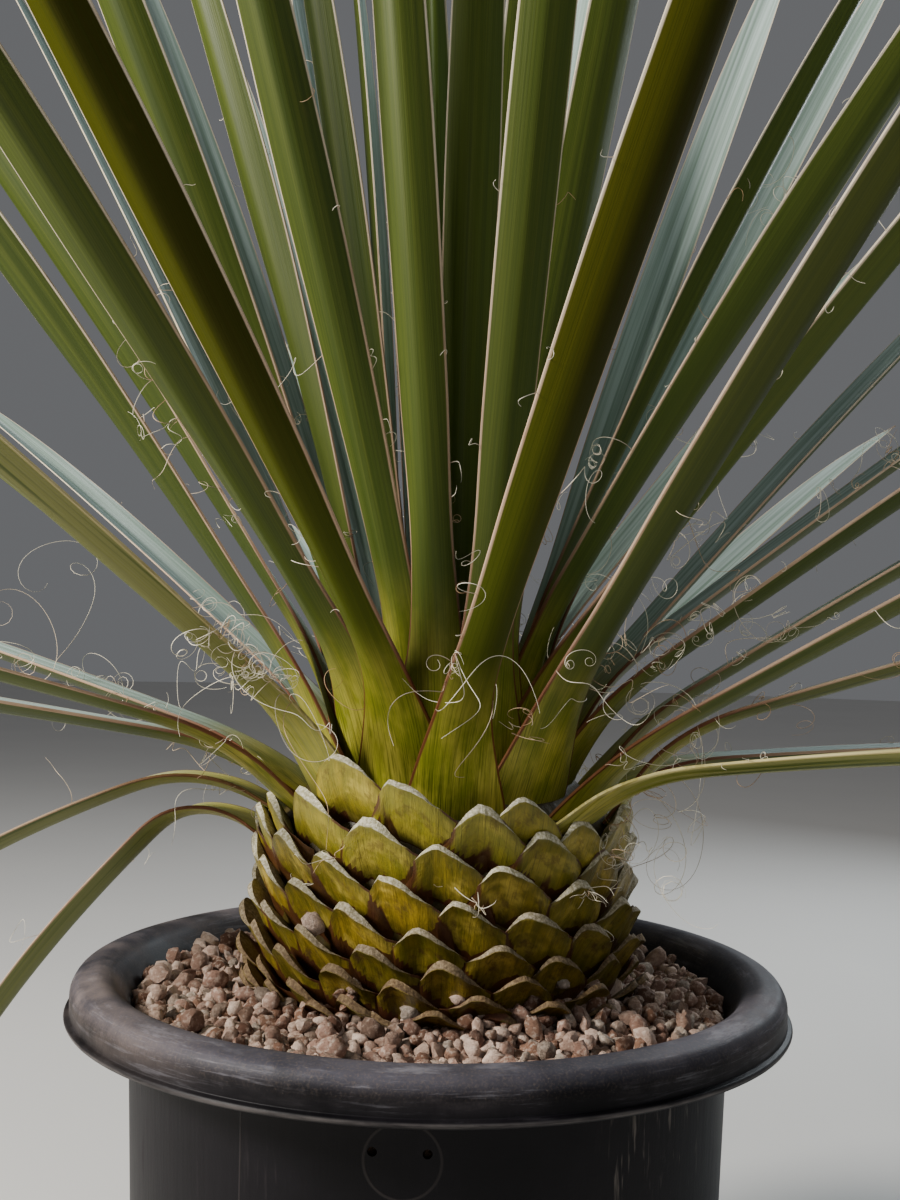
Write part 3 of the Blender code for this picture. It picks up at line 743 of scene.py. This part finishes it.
def cut_holes(piece, holes):
    """Cuts round holes, each given by its middle, radius, depth and turn about X, through a piece."""
    drill = bmesh.new()
    for middle, radius, depth, turn in holes:
        place = Matrix.Translation(middle) @ Matrix.Rotation(turn, 4, "X")
        bmesh.ops.create_cone(
            drill, cap_ends=True, segments=24, radius1=radius, radius2=radius, depth=depth, matrix=place
        )
    mesh = bpy.data.meshes.new("holes")
    drill.to_mesh(mesh)
    drill.free()
    cutter = in_scene("holes", mesh)
    boolean = piece.modifiers.new("Holes", "BOOLEAN")
    boolean.object = cutter
    boolean.operation = "DIFFERENCE"
    boolean.solver = "EXACT"
    bpy.context.view_layer.update()
    evaluated = piece.evaluated_get(bpy.context.evaluated_depsgraph_get())
    finished = bpy.data.meshes.new_from_object(evaluated)
    finished.set_sharp_from_angle(angle=math.radians(40))
    piece.modifiers.clear()
    piece.data = finished
    bpy.data.objects.remove(cutter)


# Gravel

def gravel_bed():
    """The bed under the loose stones: a closed ring whose top rolls by a millimetre."""
    angle = full_turn(144)[:, None]
    over, under = 14, 3
    across = np.concatenate([np.linspace(0, 1, over), np.linspace(1, 0, under)])[None]
    top = np.repeat([1, 0], [over, under])[None]
    radius = STEM_RADIUS + (MOUTH_RADIUS - 0.0004 + top * 0.0016 - STEM_RADIUS) * across
    middle = STEM_AXIS[0] * (1 - across)
    level = LIP + BED_UNDERSIDE + top * (BED_DEPTH - BED_FALL * across)
    points = np.stack([middle + radius * np.cos(angle), radius * np.sin(angle), level + 0 * angle], axis=-1)
    points[..., 2] += top * rolling(points, np.random.default_rng(8), 0.02) * 0.0012
    grid = points[None]
    return tubes(grid, None, at_points(grid, 0.4, 0.5, 1), loop=True)


def settled_stones(rng):
    """Middles and radii of stones that fell on the bed.

    Each round drops them a little. Then pairs that overlap are pushed apart by half the overlap each,
    and the bed, the wall and the stem push back. Last, those in front of the stem are heaped up.
    """
    radius = STONE_RADIUS + STONE_SPREAD * rng.beta(1.4, 3.2, STONES)
    around = rng.uniform(0, TAU, STONES)
    distance = np.sqrt(rng.uniform((STEM_RADIUS + 0.004) ** 2, MOUTH_RADIUS**2, STONES))
    height = LIP + 0.006 + rng.uniform(0, 0.014, STONES)
    middle = np.column_stack([distance * np.cos(around), distance * np.sin(around), height])
    for turn in range(SETTLING_ROUNDS):
        if turn % 15 == 0:
            gap = np.linalg.norm(middle[:, None] - middle[None], axis=2)
            first, second = np.nonzero(np.triu(gap < NEIGHBOUR_REACH, 1))
        middle[:, 2] -= SETTLING_DROP
        apart = middle[first] - middle[second]
        length = np.maximum(np.linalg.norm(apart, axis=1), 1e-6)
        overlap = np.maximum(0, TOUCHING * (radius[first] + radius[second]) - length)
        push = apart * (0.5 * overlap / length)[:, None]
        for axis in range(3):
            middle[:, axis] += np.bincount(first, push[:, axis], STONES)
            middle[:, axis] -= np.bincount(second, push[:, axis], STONES)
        from_stem = middle[:, :2] - STEM_AXIS[:2]
        reach = np.linalg.norm(from_stem, axis=1)[:, None]
        into_stem = np.maximum(0, STEM_RADIUS + STEM_CLEARANCE + 0.5 * radius[:, None] - reach)
        middle[:, :2] += from_stem / reach * into_stem
        reach = np.linalg.norm(middle[:, :2], axis=1)
        mouth = MOUTH_RADIUS + np.clip(middle[:, 2] - LIP, 0, 0.0055) * 0.2 - radius
        middle[:, :2] *= np.minimum(1, mouth / reach)[:, None]
        middle[:, 2] = np.maximum(middle[:, 2], LIP + 0.002 + 0.35 * radius)
    near = np.clip((HEAP_RADIUS - np.linalg.norm(middle[:, :2] - STEM_AXIS[:2], axis=1)) / HEAP_SLOPE, 0, 1)
    middle[:, 2] += HEAP_HEIGHT * near * np.clip(-middle[:, 1] / HEAP_FRONT, 0, 1)
    return middle, radius


def stones(rng):
    """Broken stones: a ball of 42 points cut back to a soft polyhedron, stretched on three axes and turned.

    The cut reaches 1 / (sum of (cos / distance)^12)^(1/12) over each stone's nine faces.
    """
    middle, radius = settled_stones(rng)
    azimuth, height, size = np.array(CAUGHT_STONES).T
    middle = np.concatenate([middle, polar(CAUGHT_RADIUS + 0.5 * size, np.radians(azimuth), height)])
    radius = np.concatenate([radius, size])
    count = len(radius)
    latitude = np.radians([-66, -33, 0, 33, 66])[:, None]
    longitude = np.radians(np.arange(0, 360, 45))[None] + 0.3 * latitude
    ball = np.stack([
        np.cos(latitude) * np.cos(longitude), np.cos(latitude) * np.sin(longitude),
        np.sin(latitude) + 0 * longitude,
    ], axis=-1)
    stretch = rng.uniform([1, 0.8, 0.62], [1.22, 1.02, 0.88], (count, 3))
    faces = unit(rng.normal(size=(count, 3, STONE_FACES)).transpose(0, 2, 1))
    facing = np.maximum(np.einsum("abi,nji->nabj", ball, faces), 1e-3)
    distance = rng.uniform(0.62, 1, (count, 1, 1, STONE_FACES))
    reach = np.sum((facing / distance) ** STONE_EDGES, axis=-1) ** (-1 / STONE_EDGES)
    uneven = rng.uniform(0.93, 1.07, (count, 5, 8, 1))
    shape = ball * stretch[:, None, None] * np.minimum(reach, 1.25)[..., None] * uneven
    turn = np.linalg.qr(rng.normal(size=(count, 3, 3)))[0]
    grid = np.einsum("nabi,nij->nabj", shape, turn) * radius[:, None, None, None] + middle[:, None, None]
    tone, shade = rng.uniform(0, 1, (2, count, 1, 1))
    return tubes(grid, None, at_points(grid, tone, shade, 0))


# Stem

def azimuth_of(place):
    """Azimuth of a place on the spiral, from the front towards +X, in radians."""
    place = np.asarray(place, float)
    return np.radians(FRONT_AZIMUTH - np.where(place <= 0, GOLDEN_ANGLE, UPPER_ANGLE) * place)


def tip_height(place):
    """Height of a trimmed base's tip: rows close up downwards, stand higher in front and lower on stubs."""
    place = np.asarray(place, float)
    drop = np.where(np.isin(place, list(STUBS)), STUB_DROP, np.where(place == 26, TRIMMED_HIGH_UP[26], 0))
    return ROW_HEIGHT + ROW_RISE * place + ROW_BEND * place**2 - drop + FRONT_RISE * np.cos(azimuth_of(place))


def trimmed_bases(rng):
    """All trimmed leaf bases at once, as grids of sections across each base.

    Each section is an outline: up the bowed outer face, over the slanting cut, and down the back.
    The cut's edge drops from its peak towards both ends, steadily on high rows and like a bell on low ones.
    Arrays have the base, the column across it and the point of its section as their axes.
    """
    places = np.array(list(range(LOWEST_BASE, CROWN_FOOT)) + list(TRIMMED_HIGH_UP))
    places = places[tip_height(places) > BURIED - 0.003]
    count = len(places)

    def vary(low, high):
        """One random value for each base."""
        return rng.uniform(low, high, (count, 1, 1))

    tips = tip_height(places)[:, None, None]
    row = np.clip(tips / TOP_ROW, 0, 1)
    loose = 1 - np.isin(places, list(STUBS) + list(TRIMMED_HIGH_UP))[:, None, None]
    tips = tips + loose * vary(-0.0016, 0.0016)
    around = azimuth_of(places)[:, None, None] + loose * vary(-0.022, 0.022)
    u = shares_across(BASE_COLUMNS)[..., None]
    peak = vary(-0.5, -0.05) - 0.12 * row
    beside = np.where(u < peak, (peak - u) / (1 + peak), (u - peak) / (1 - peak))
    bell = (1 - np.exp(-((beside / 0.52) ** 2))) / (1 - math.exp(-((1 / 0.52) ** 2)))
    slope = beside ** np.where(u < peak, vary(0.9, 1.5), vary(1.3, 1.8))
    arch = (0.0092 + 0.0096 * row) * vary(0.85, 1.15)
    drop = arch * (row * slope + (1 - row) * bell) * np.where(u < peak, 0.8, 1.1)
    ragged = 0.0003 * np.sin(u * vary(6, 12) + vary(0, 6))
    ragged = ragged + 0.0002 * np.sin(u * vary(18, 30) + vary(0, 6))
    top = np.maximum(tips - drop + ragged, 0.002)
    root = np.maximum(top - ROOT_DROP, -0.003)
    reach = TIP_RADIUS - 0.0018 * row + vary(-0.0012, 0.0012)
    outer = CORNER_RADIUS + (reach - CORNER_RADIUS) * (1 - np.abs(u) ** (2 + 1.6 * row))
    middle = np.clip(1 - ((u - 0.4 * peak) / SHOWN_HALF) ** 2, 0, 1) ** 1.4
    crest = np.clip(1 - ((u - 0.4 * peak) / CREST_HALF) ** 2, 0, 1) ** 1.6
    curl = (0.0006 + 0.0084 * (1 - row) ** 0.9) * middle * vary(0.5, 1.35)
    depth = (0.0003 + (0.0014 + 0.0014 * row) * middle) * vary(0.8, 1.15)
    rise = CREST_RISE * crest * vary(0.6, 1.25)

    bow = 1.2 + 0.45 * row
    edge = outer + curl
    radius = np.concatenate([
        ROOT_RADIUS + (outer - ROOT_RADIUS) * (1 - (1 - UP_FACE) ** bow) + curl * UP_FACE ** (4.5 + 4 * row),
        edge - depth * OVER_CUT,
        edge - depth + (ROOT_RADIUS - (edge - depth)) * DOWN_BACK,
    ], axis=2)
    height = np.concatenate([
        root + (top - root) * UP_FACE,
        top + rise * (OVER_CUT**0.8),
        top + rise - np.minimum((top + rise - root) * 0.9, 0.02) * DOWN_BACK,
    ], axis=2)
    half = BASE_HALF_WIDTH * (0.8 + 0.2 * row**0.6)
    azimuth = around + u * half / TIP_RADIUS

    def neighbours_face(index):
        """Radius of the outermost other face at the azimuth and height of each of a base's points."""
        turn = azimuth[index] - around
        at = ((turn + math.pi) % TAU - math.pi) * TIP_RADIUS / half
        others = np.flatnonzero((np.abs(at).min(axis=(1, 2)) < 1) & (np.arange(count) != index))
        faces = []
        for other in others:
            here = np.broadcast_to(at[other], height[index].shape)
            lifted, low, out = [np.interp(here, u[0, :, 0], of[other, :, 0]) for of in (top, root, edge)]
            share = (height[index] - low) / np.maximum(lifted - low, 1e-4)
            inside = (np.abs(here) < 1) & (share > 0) & (share < 1)
            share = np.clip(share, 0, 1)
            face = ROOT_RADIUS + (out - ROOT_RADIUS) * (1 - (1 - share) ** bow[other, 0, 0])
            faces.append(np.where(inside, face, 0))
        return np.max(faces, axis=0)

    above = radius - np.stack([neighbours_face(index) for index in range(count)])
    rim = slice(len(UP_FACE) - 2, len(UP_FACE) + len(OVER_CUT))
    above[:, :, rim] = np.minimum(above[:, :, rim], 0.0001 + 0.004 * middle)
    grid = polar(radius, azimuth, height)
    grid = grid + outwards(grid) * rolling(grid, rng, 0.014)[..., None] * 0.004
    lay = at_points(grid, u * half, np.maximum(top - height, 0), np.clip(above, -0.01, 0.01))
    on_cut = np.repeat([0, 1, 0.5], [len(UP_FACE), len(OVER_CUT), len(DOWN_BACK)])
    return tubes(grid, lay, at_points(grid, on_cut, vary(0, 1), row))


def stem_core():
    """The stem under its bases, from the bud down the crown's cone and the side to the buried foot."""
    grid, azimuth = turned([
        (0.004, 0.1624), (0.016, 0.1624), (0.05, 0.1284), (STEM_RADIUS, CROWN_HEIGHT), (STEM_RADIUS, 0.06),
        (STEM_RADIUS, 0.03), (STEM_RADIUS, BURIED), (0.0895, 0.0075), (0.0895, -0.02), (0.078, -0.038),
        (0.055, -0.0445), (0.004, -0.0445),
    ], 64)
    # Its lay sets it 30 mm below a cut, so it takes the painted shade of the bases' low faces
    return tubes(grid, at_points(grid, azimuth * STEM_RADIUS, 0.03, 0.03), at_points(grid, 0, 0.5, 0.3))


# Leaves

def age_of(place):
    """Age of a live leaf, from 0 for the youngest to 1 for the oldest."""
    return min(1, (YOUNGEST_UPRIGHT - place) / (YOUNGEST_UPRIGHT - CROWN_FOOT))


def rule_lean(place):
    """Lean from the vertical in degrees: old leaves lie nearly flat, young ones stand up."""
    return 5 + 75 * max(0, age_of(place)) ** 1.35


def stub_leaf(place):
    """An old leaf that leaves the stem's side from the top of a short stub."""
    lean, swing = STANDING_OUT[place]
    radius, opening = STUBS[place]
    return Leaf(
        place, lean, swing, opening, radius, height=float(tip_height(place)) + 0.0008,
        length=OVERHANGING_LENGTH if lean > 90 else LEAF_LENGTH, half=0.0125, thick=0.005,
    )


def crown_leaf(place, stray):
    """A leaf whose foot sits on the crown's cone. Leaves without own values follow the rule of age."""
    step = CROWN_STEP * (place - CROWN_FOOT)
    radius = CROWN_RADIUS - step
    age = age_of(place)
    youth = max(0, (place - YOUNG_FROM) / (YOUNGEST_UPRIGHT - YOUNG_FROM))
    lean, swing = STANDING_OUT.get(place, (rule_lean(place) + 1.5 * stray, 2 * stray))
    return Leaf(
        place, lean, swing, opening=0.35 + 0.4 * age**2, radius=radius, height=CROWN_HEIGHT + step,
        length=(LEAF_LENGTH - YOUNG_SHORTER * youth**1.5) * (1 + 0.03 * stray),
        half=min(FOOT_HALF_WIDTH, 0.42 * radius) - OLD_NARROWER * age**6,
        thick=min(FOOT_THICKNESS, 0.0026 + 0.075 * radius),
    )


def heart_leaf(place):
    """One of the furled young leaves round the bud."""
    rank = place - LAST_LIVE_LEAF
    return Leaf(
        place, rule_lean(place) + 1, swing=0, opening=0.35, radius=0.012 - 0.0009 * rank, height=0.1667,
        length=YOUNG_LEAF_LENGTH * (0.98 - 0.03 * rank), half=0.0088, thick=0.0032,
    )


def midline(leaf, s):
    """Midline of a leaf at distances s along it, with its tangent, side and underside directions.

    The tangent leans by lean * (opening + (1 - opening) * ease(s / BEND_LENGTH)) + droop * (s / length)^2
    degrees and swings sideways by swing * ease(s / BEND_LENGTH). The midline is its running sum, and
    straight below the foot. The leaf turns about it by turned * ease((s - TURN_START) / TURN_LENGTH).
    """
    steps = np.linspace(0, leaf.length, 401)

    def directions(at):
        bend = ease(at / BEND_LENGTH)
        lean = leaf.lean * (leaf.opening + (1 - leaf.opening) * bend)
        droop = DROOPING.get(leaf.place, TIP_DROOP) * (np.maximum(at, 0) / leaf.length) ** 2
        lean = np.radians(lean + droop)
        turn = azimuth_of(leaf.place) + np.radians(leaf.swing) * bend
        along = np.stack([np.sin(lean) * np.sin(turn), -np.sin(lean) * np.cos(turn), np.cos(lean)], axis=1)
        side = np.stack([np.cos(turn), np.sin(turn), np.zeros_like(turn)], axis=1)
        return along, side

    tangents = directions(steps)[0]
    run = np.concatenate([[np.zeros(3)], np.cumsum((tangents[1:] + tangents[:-1]) / 2, axis=0)]) * steps[1]
    start = polar(leaf.radius, azimuth_of(leaf.place), leaf.height)
    along, side = directions(s)
    points = start + np.stack([np.interp(s, steps, run[:, axis]) for axis in range(3)], axis=1)
    points = points + np.minimum(s, 0)[:, None] * along
    under = np.cross(side, along)
    roll = np.radians(TURNED.get(leaf.place, 0)) * ease((s - TURN_START) / TURN_LENGTH)[:, None]
    cos, sin = np.cos(roll), np.sin(roll)
    return points, along, side * cos - under * sin, under * cos + side * sin


def leaf_measures(leaf, s):
    """Half width, depth, channel and margin thickness of a leaf at distances s."""
    share = s / leaf.length
    half = leaf.half
    neck = min(NECK_HALF_WIDTH, 0.75 * half)
    wide = min(BLADE_HALF_WIDTH, 0.85 * half)
    clasp = half**2 / (2 * max(leaf.radius, 0.03))
    halves = [part * half for part in (1.22, 1.18, 0.94, 0.68)]
    halves += [neck, 0.5 * (neck + wide), wide, 0.68 * wide, 0.0006]
    depths = [leaf.thick * part for part in (0.9, 1, 1, 0.95, 0.8, 0.62, 0.48, 0.34)] + [0.0009]
    channels = (1.3 * clasp, 1.2 * clasp, 0.0026, 0.0028, 0.0036, 0.005, 0.0056, 0.0036, 0.0002)
    half, depth, channel = (through(STATIONS, values, share) for values in (halves, depths, channels))
    return half, depth, channel, np.clip(depth * 0.25, 0.0005, 0.0011)


def leaf_shape(leaf, rng):
    """A leaf as one skin round its sections: keeled underside, channelled upper face, thin margins.

    At u across, from -1 to 1, the section's middle lies about channel * |u|^power towards the upper face.
    power falls from 2 at the clasping foot to 1.12, a soft V, on the blade.
    """
    s = -0.012 + (leaf.length + 0.0105) * np.linspace(0, 1, LEAF_ROWS) ** 1.35
    points, _, side, under = midline(leaf, s)
    half, depth, channel, edge = (values[:, None] for values in leaf_measures(leaf, s))
    u = shares_across(LEAF_COLUMNS)
    power = 1.12 + 0.88 * np.exp(-np.maximum(s, 0) / 0.045)[:, None]
    sheet = -channel * ((u * u + 0.02) / 1.02) ** (power / 2)
    thickness = edge + (depth - edge) * (1 - u * u) ** 0.9
    across = half * u
    ring_across = np.concatenate([across, across[:, ::-1]], axis=1)
    ring_out = np.concatenate([sheet + thickness / 2, (sheet - thickness / 2)[:, ::-1]], axis=1)
    grid = points[:, None] + side[:, None] * ring_across[..., None] + under[:, None] * ring_out[..., None]
    grid = grid[None]
    upper = np.repeat([0, 1], LEAF_COLUMNS)
    lay = at_points(grid, ring_across, s[:, None], half - np.abs(ring_across))
    # The third value is how far the leaf has yellowed; below 0 it is the depth of its painted shade
    return tubes(grid, lay, at_points(grid, upper, rng.uniform(), YELLOWING_AND_PAINTED_SHADE.get(leaf.place, 0)))


def bud_shape():
    """The tight bud that the furled leaves stand round."""
    outline = [(0.0145, 0.163), (0.014, 0.175), (0.01, 0.197), (0.0055, 0.23), (0.002, 0.248)]
    grid, azimuth = turned(outline, 24)
    return tubes(grid, at_points(grid, azimuth * 0.012, grid[..., 2] - STEM_AXIS[2], 0.01))


# Fibres

def curls(starts, headings, lengths, turns, radius, rng):
    """Curling threads from their starts, as three-sided tubes. lengths and turns are ranges to draw from.

    Each step turns the heading about a slowly drifting axis, by an angle that swells and fades along the
    thread as sin^2, so that loose bows go over into tight loops, and bends it down a little.
    """
    count = len(starts)
    length = rng.uniform(*lengths, count)[:, None]
    tightness = rng.uniform(*turns, count)[:, None]
    t = np.linspace(0, 1, THREAD_STEPS)[None]
    waves = rng.uniform(0.6, 1.8, (count, 1)) * t + rng.uniform(0, 1, (count, 1))
    angle = tightness / THREAD_STEPS * (0.25 + 1.5 * np.sin(math.pi * waves) ** 2)
    angle = angle * rng.choice([-1, 1], (count, 1))
    axis = unit(rng.normal(size=(count, 3)) + np.array([0, 0.8, 0]))
    drift = rng.normal(size=(count, 3)) * 1.2 / THREAD_STEPS
    heading = unit(headings)
    path = [starts]
    tangents = [heading]
    for step in range(1, THREAD_STEPS):
        axis = unit(axis + drift)
        across = np.cross(axis, heading)
        heading = heading * np.cos(angle[:, step, None]) + across * np.sin(angle[:, step, None])
        heading = unit(heading + np.array([0, 0, -0.35 / THREAD_STEPS]))
        path.append(path[-1] + heading * length / THREAD_STEPS)
        tangents.append(heading)
    path = np.stack(path, axis=1)
    tangents = np.stack(tangents, axis=1)
    first = unit(np.cross(tangents, axis[:, None] + np.array([0.013, 0.021, 0.017])))
    second = np.cross(tangents, first)
    corner = np.radians([0, 120, 240])[:, None]
    ring = first[:, :, None] * np.cos(corner) + second[:, :, None] * np.sin(corner)
    taper = radius * (1 - 0.6 * t**2)
    grid = path[:, :, None] + ring * taper[..., None, None]
    return tubes(grid, None, at_points(grid, t[..., None], rng.uniform(0, 1, (count, 1, 1)), 0))


def margin_points(leaf, s, hand):
    """Points on a leaf's margin at distances s, on the side hand (1 or -1), with along, side and under."""
    points, along, side, under = midline(leaf, s)
    half, _, channel, _ = leaf_measures(leaf, s)
    places = points + side * (half * hand)[:, None] - under * channel[:, None]
    return places, along, side * hand[:, None], under


def margin_threads(leaf, count, reach, lengths, turns, rng):
    """Threads that peel from one leaf's margins between two distances along it."""
    s = rng.uniform(*reach, count)
    hand = rng.choice([-1, 1], count)
    starts, along, outward, under = margin_points(leaf, s, hand)
    headings = along * rng.uniform(-0.6, 1, (count, 1)) + outward * 0.8
    headings = headings + under * rng.normal(0.2, 0.5, (count, 1))
    return curls(starts, headings, lengths, turns, THREAD_RADIUS, rng)


def thread_roots(leaves):
    """Points where threads can start: along both margins of every leaf, and at the trimmed bases' tips."""
    s = np.linspace(0.008, 0.36, 70)
    margins = [margin_points(leaf, s, np.full(len(s), hand))[0] for leaf in leaves for hand in (-1, 1)]
    places = np.arange(LOWEST_BASE, CROWN_FOOT)
    places = places[tip_height(places) > 0.02]
    tips = polar(TIP_RADIUS - 0.001, azimuth_of(places), tip_height(places))
    return np.concatenate(margins + [tips])


def tangle(azimuth, radius, height, spread, count, shortest, longest, turning, roots, rng):
    """Threads that start at roots near a middle, the nearer the likelier, and head for it."""
    middle = polar(radius / 1000, math.radians(azimuth), height / 1000)
    spread = spread / 1000
    likely = np.exp(-np.sum((roots - middle) ** 2, axis=1) / (2 * spread**2)) + 1e-12
    starts = roots[rng.choice(len(roots), count, p=likely / likely.sum())]
    headings = unit(middle - starts + rng.normal(size=(count, 3)) * spread) + 0.7 * unit(outwards(starts))
    turns = (0.6 * turning, 1.4 * turning)
    return curls(starts, headings, (shortest / 1000, longest / 1000), turns, TANGLED_THREAD_RADIUS, rng)


def fibre_shape(leaves, rng):
    """All threads: small hooks and curls on every leaf, and tangles where the threads have caught."""
    shapes = [margin_threads(leaf, *threads, rng) for leaf in leaves for threads in MARGIN_THREADS]
    roots = thread_roots(leaves)
    return joined(*shapes, *[tangle(*row, roots, rng) for row in TANGLES])


# The pieces in their places

def ride_as(piece, slot, *nodes):
    """The piece rides on the one body and stands for the named solids, which it hides. slot is not used."""
    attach(piece, "root")
    if nodes:
        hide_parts(*nodes)


def build_plant():
    green = leaf_finish("leaf_green", 0)
    # A less glossy copy of the leaf finish for the leaves painted as in shade
    painted_shade = leaf_finish("leaf_green_painted_shade", 0, 0.06)
    stray = random.Random(5)
    leaves = []
    for place in list(STUBS) + list(range(CROWN_FOOT, LAST_LIVE_LEAF + 1)):
        off_rule = stray.uniform(-1, 1)
        if place not in TRIMMED_HIGH_UP:
            leaves.append(stub_leaf(place) if place in STUBS else crown_leaf(place, off_rule))
    rng = np.random.default_rng(21)
    for number, leaf in enumerate(leaves, 1):
        finish = painted_shade if YELLOWING_AND_PAINTED_SHADE.get(leaf.place, 0) < PAINTED_SHADE_BELOW else green
        blade = new_piece(f"blade_{number:02d}", leaf_shape(leaf, rng), finish)
        ride_as(blade, "leaf_green", f"leaf_{number:02d}")

    young = leaf_finish("young_leaf_green", 0.7)
    heart = [leaf_shape(heart_leaf(place), rng) for place in range(LAST_LIVE_LEAF + 1, YOUNGEST + 1)]
    ride_as(new_piece("heart", joined(bud_shape(), *heart), young), "young_leaf_green", "young_leaves")

    stem = joined(stem_core(), trimmed_bases(np.random.default_rng(3)))
    ride_as(new_piece("stem", stem, stem_finish(), 55), "leaf_base", "trunk")

    fibres = fibre_shape(leaves, np.random.default_rng(12))
    ride_as(new_piece("leaf_fibres", fibres, fibre_finish(), 80), "leaf_green")


def build_pot():
    ride_as(pot_piece(plastic_finish()), "black_plastic", "pot")
    gravel = joined(gravel_bed(), stones(np.random.default_rng(6)))
    ride_as(new_piece("pumice_stones", gravel, pumice_finish(), 60), "pumice", "gravel")
    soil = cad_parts["soil"]
    soil.data.materials.clear()
    soil.data.materials.append(soil_finish())


# Floor, light and camera

def area_light(name, place, size, power, colour):
    """A round lamp that aims at the middle of the plant."""
    lamp = bpy.data.lights.new(name, "AREA")
    lamp.shape = "DISK"
    lamp.size = size
    lamp.energy = power
    lamp.color = colour
    turn = (Vector(LIT_MIDDLE) - Vector(place)).to_track_quat("-Z", "Y").to_matrix().to_4x4()
    in_scene(name, lamp).matrix_world = Matrix.Translation(place) @ turn


def build_studio():
    angle = full_turn(GROUND_SIDES)
    edge = np.column_stack([np.cos(angle), np.sin(angle), np.zeros(GROUND_SIDES)]) * GROUND_RADIUS
    mesh = bpy.data.meshes.new("floor")
    mesh.from_pydata(edge.tolist(), [], [tuple(range(GROUND_SIDES))])
    mesh.materials.append(floor_finish())
    floor = in_scene("floor", mesh)

    world = bpy.data.worlds.new("studio")
    world.use_nodes = True
    background = world.node_tree.nodes["Background"]
    background.inputs["Color"].default_value = (0.86, 0.88, 0.92, 1)
    background.inputs["Strength"].default_value = 0.16
    bpy.context.scene.world = world
    area_light("key", (-1.5, -0.62, 1.2), 0.45, 66, (1, 0.96, 0.9))
    area_light("fill", (0.9, -1.6, 1.5), 1.2, 5, (0.9, 0.95, 1))
    area_light("back", (1.1, 1.3, 1.2), 0.9, 18, (0.86, 0.94, 1))


def build_camera():
    """A lens level with the foot of the leaves, 0.72 m in front of the pot's middle, hardly tilted."""
    lens = bpy.data.cameras.new("camera")
    lens.lens = CAMERA_LENS
    lens.clip_start = 0.01
    level = math.cos(CAMERA_UPWARD)
    aside = (math.sin(CAMERA_ASIDE) * level, math.cos(CAMERA_ASIDE) * level)
    forward = Vector((*aside, math.sin(CAMERA_UPWARD)))
    turn = forward.to_track_quat("-Z", "Y").to_matrix().to_4x4() @ Matrix.Rotation(CAMERA_ROLL, 4, "Z")
    camera = in_scene("camera", lens)
    camera.matrix_world = Matrix.Translation(CAMERA_PLACE) @ turn
    bpy.context.scene.camera = camera


build_pot()
build_plant()
build_studio()
build_camera()
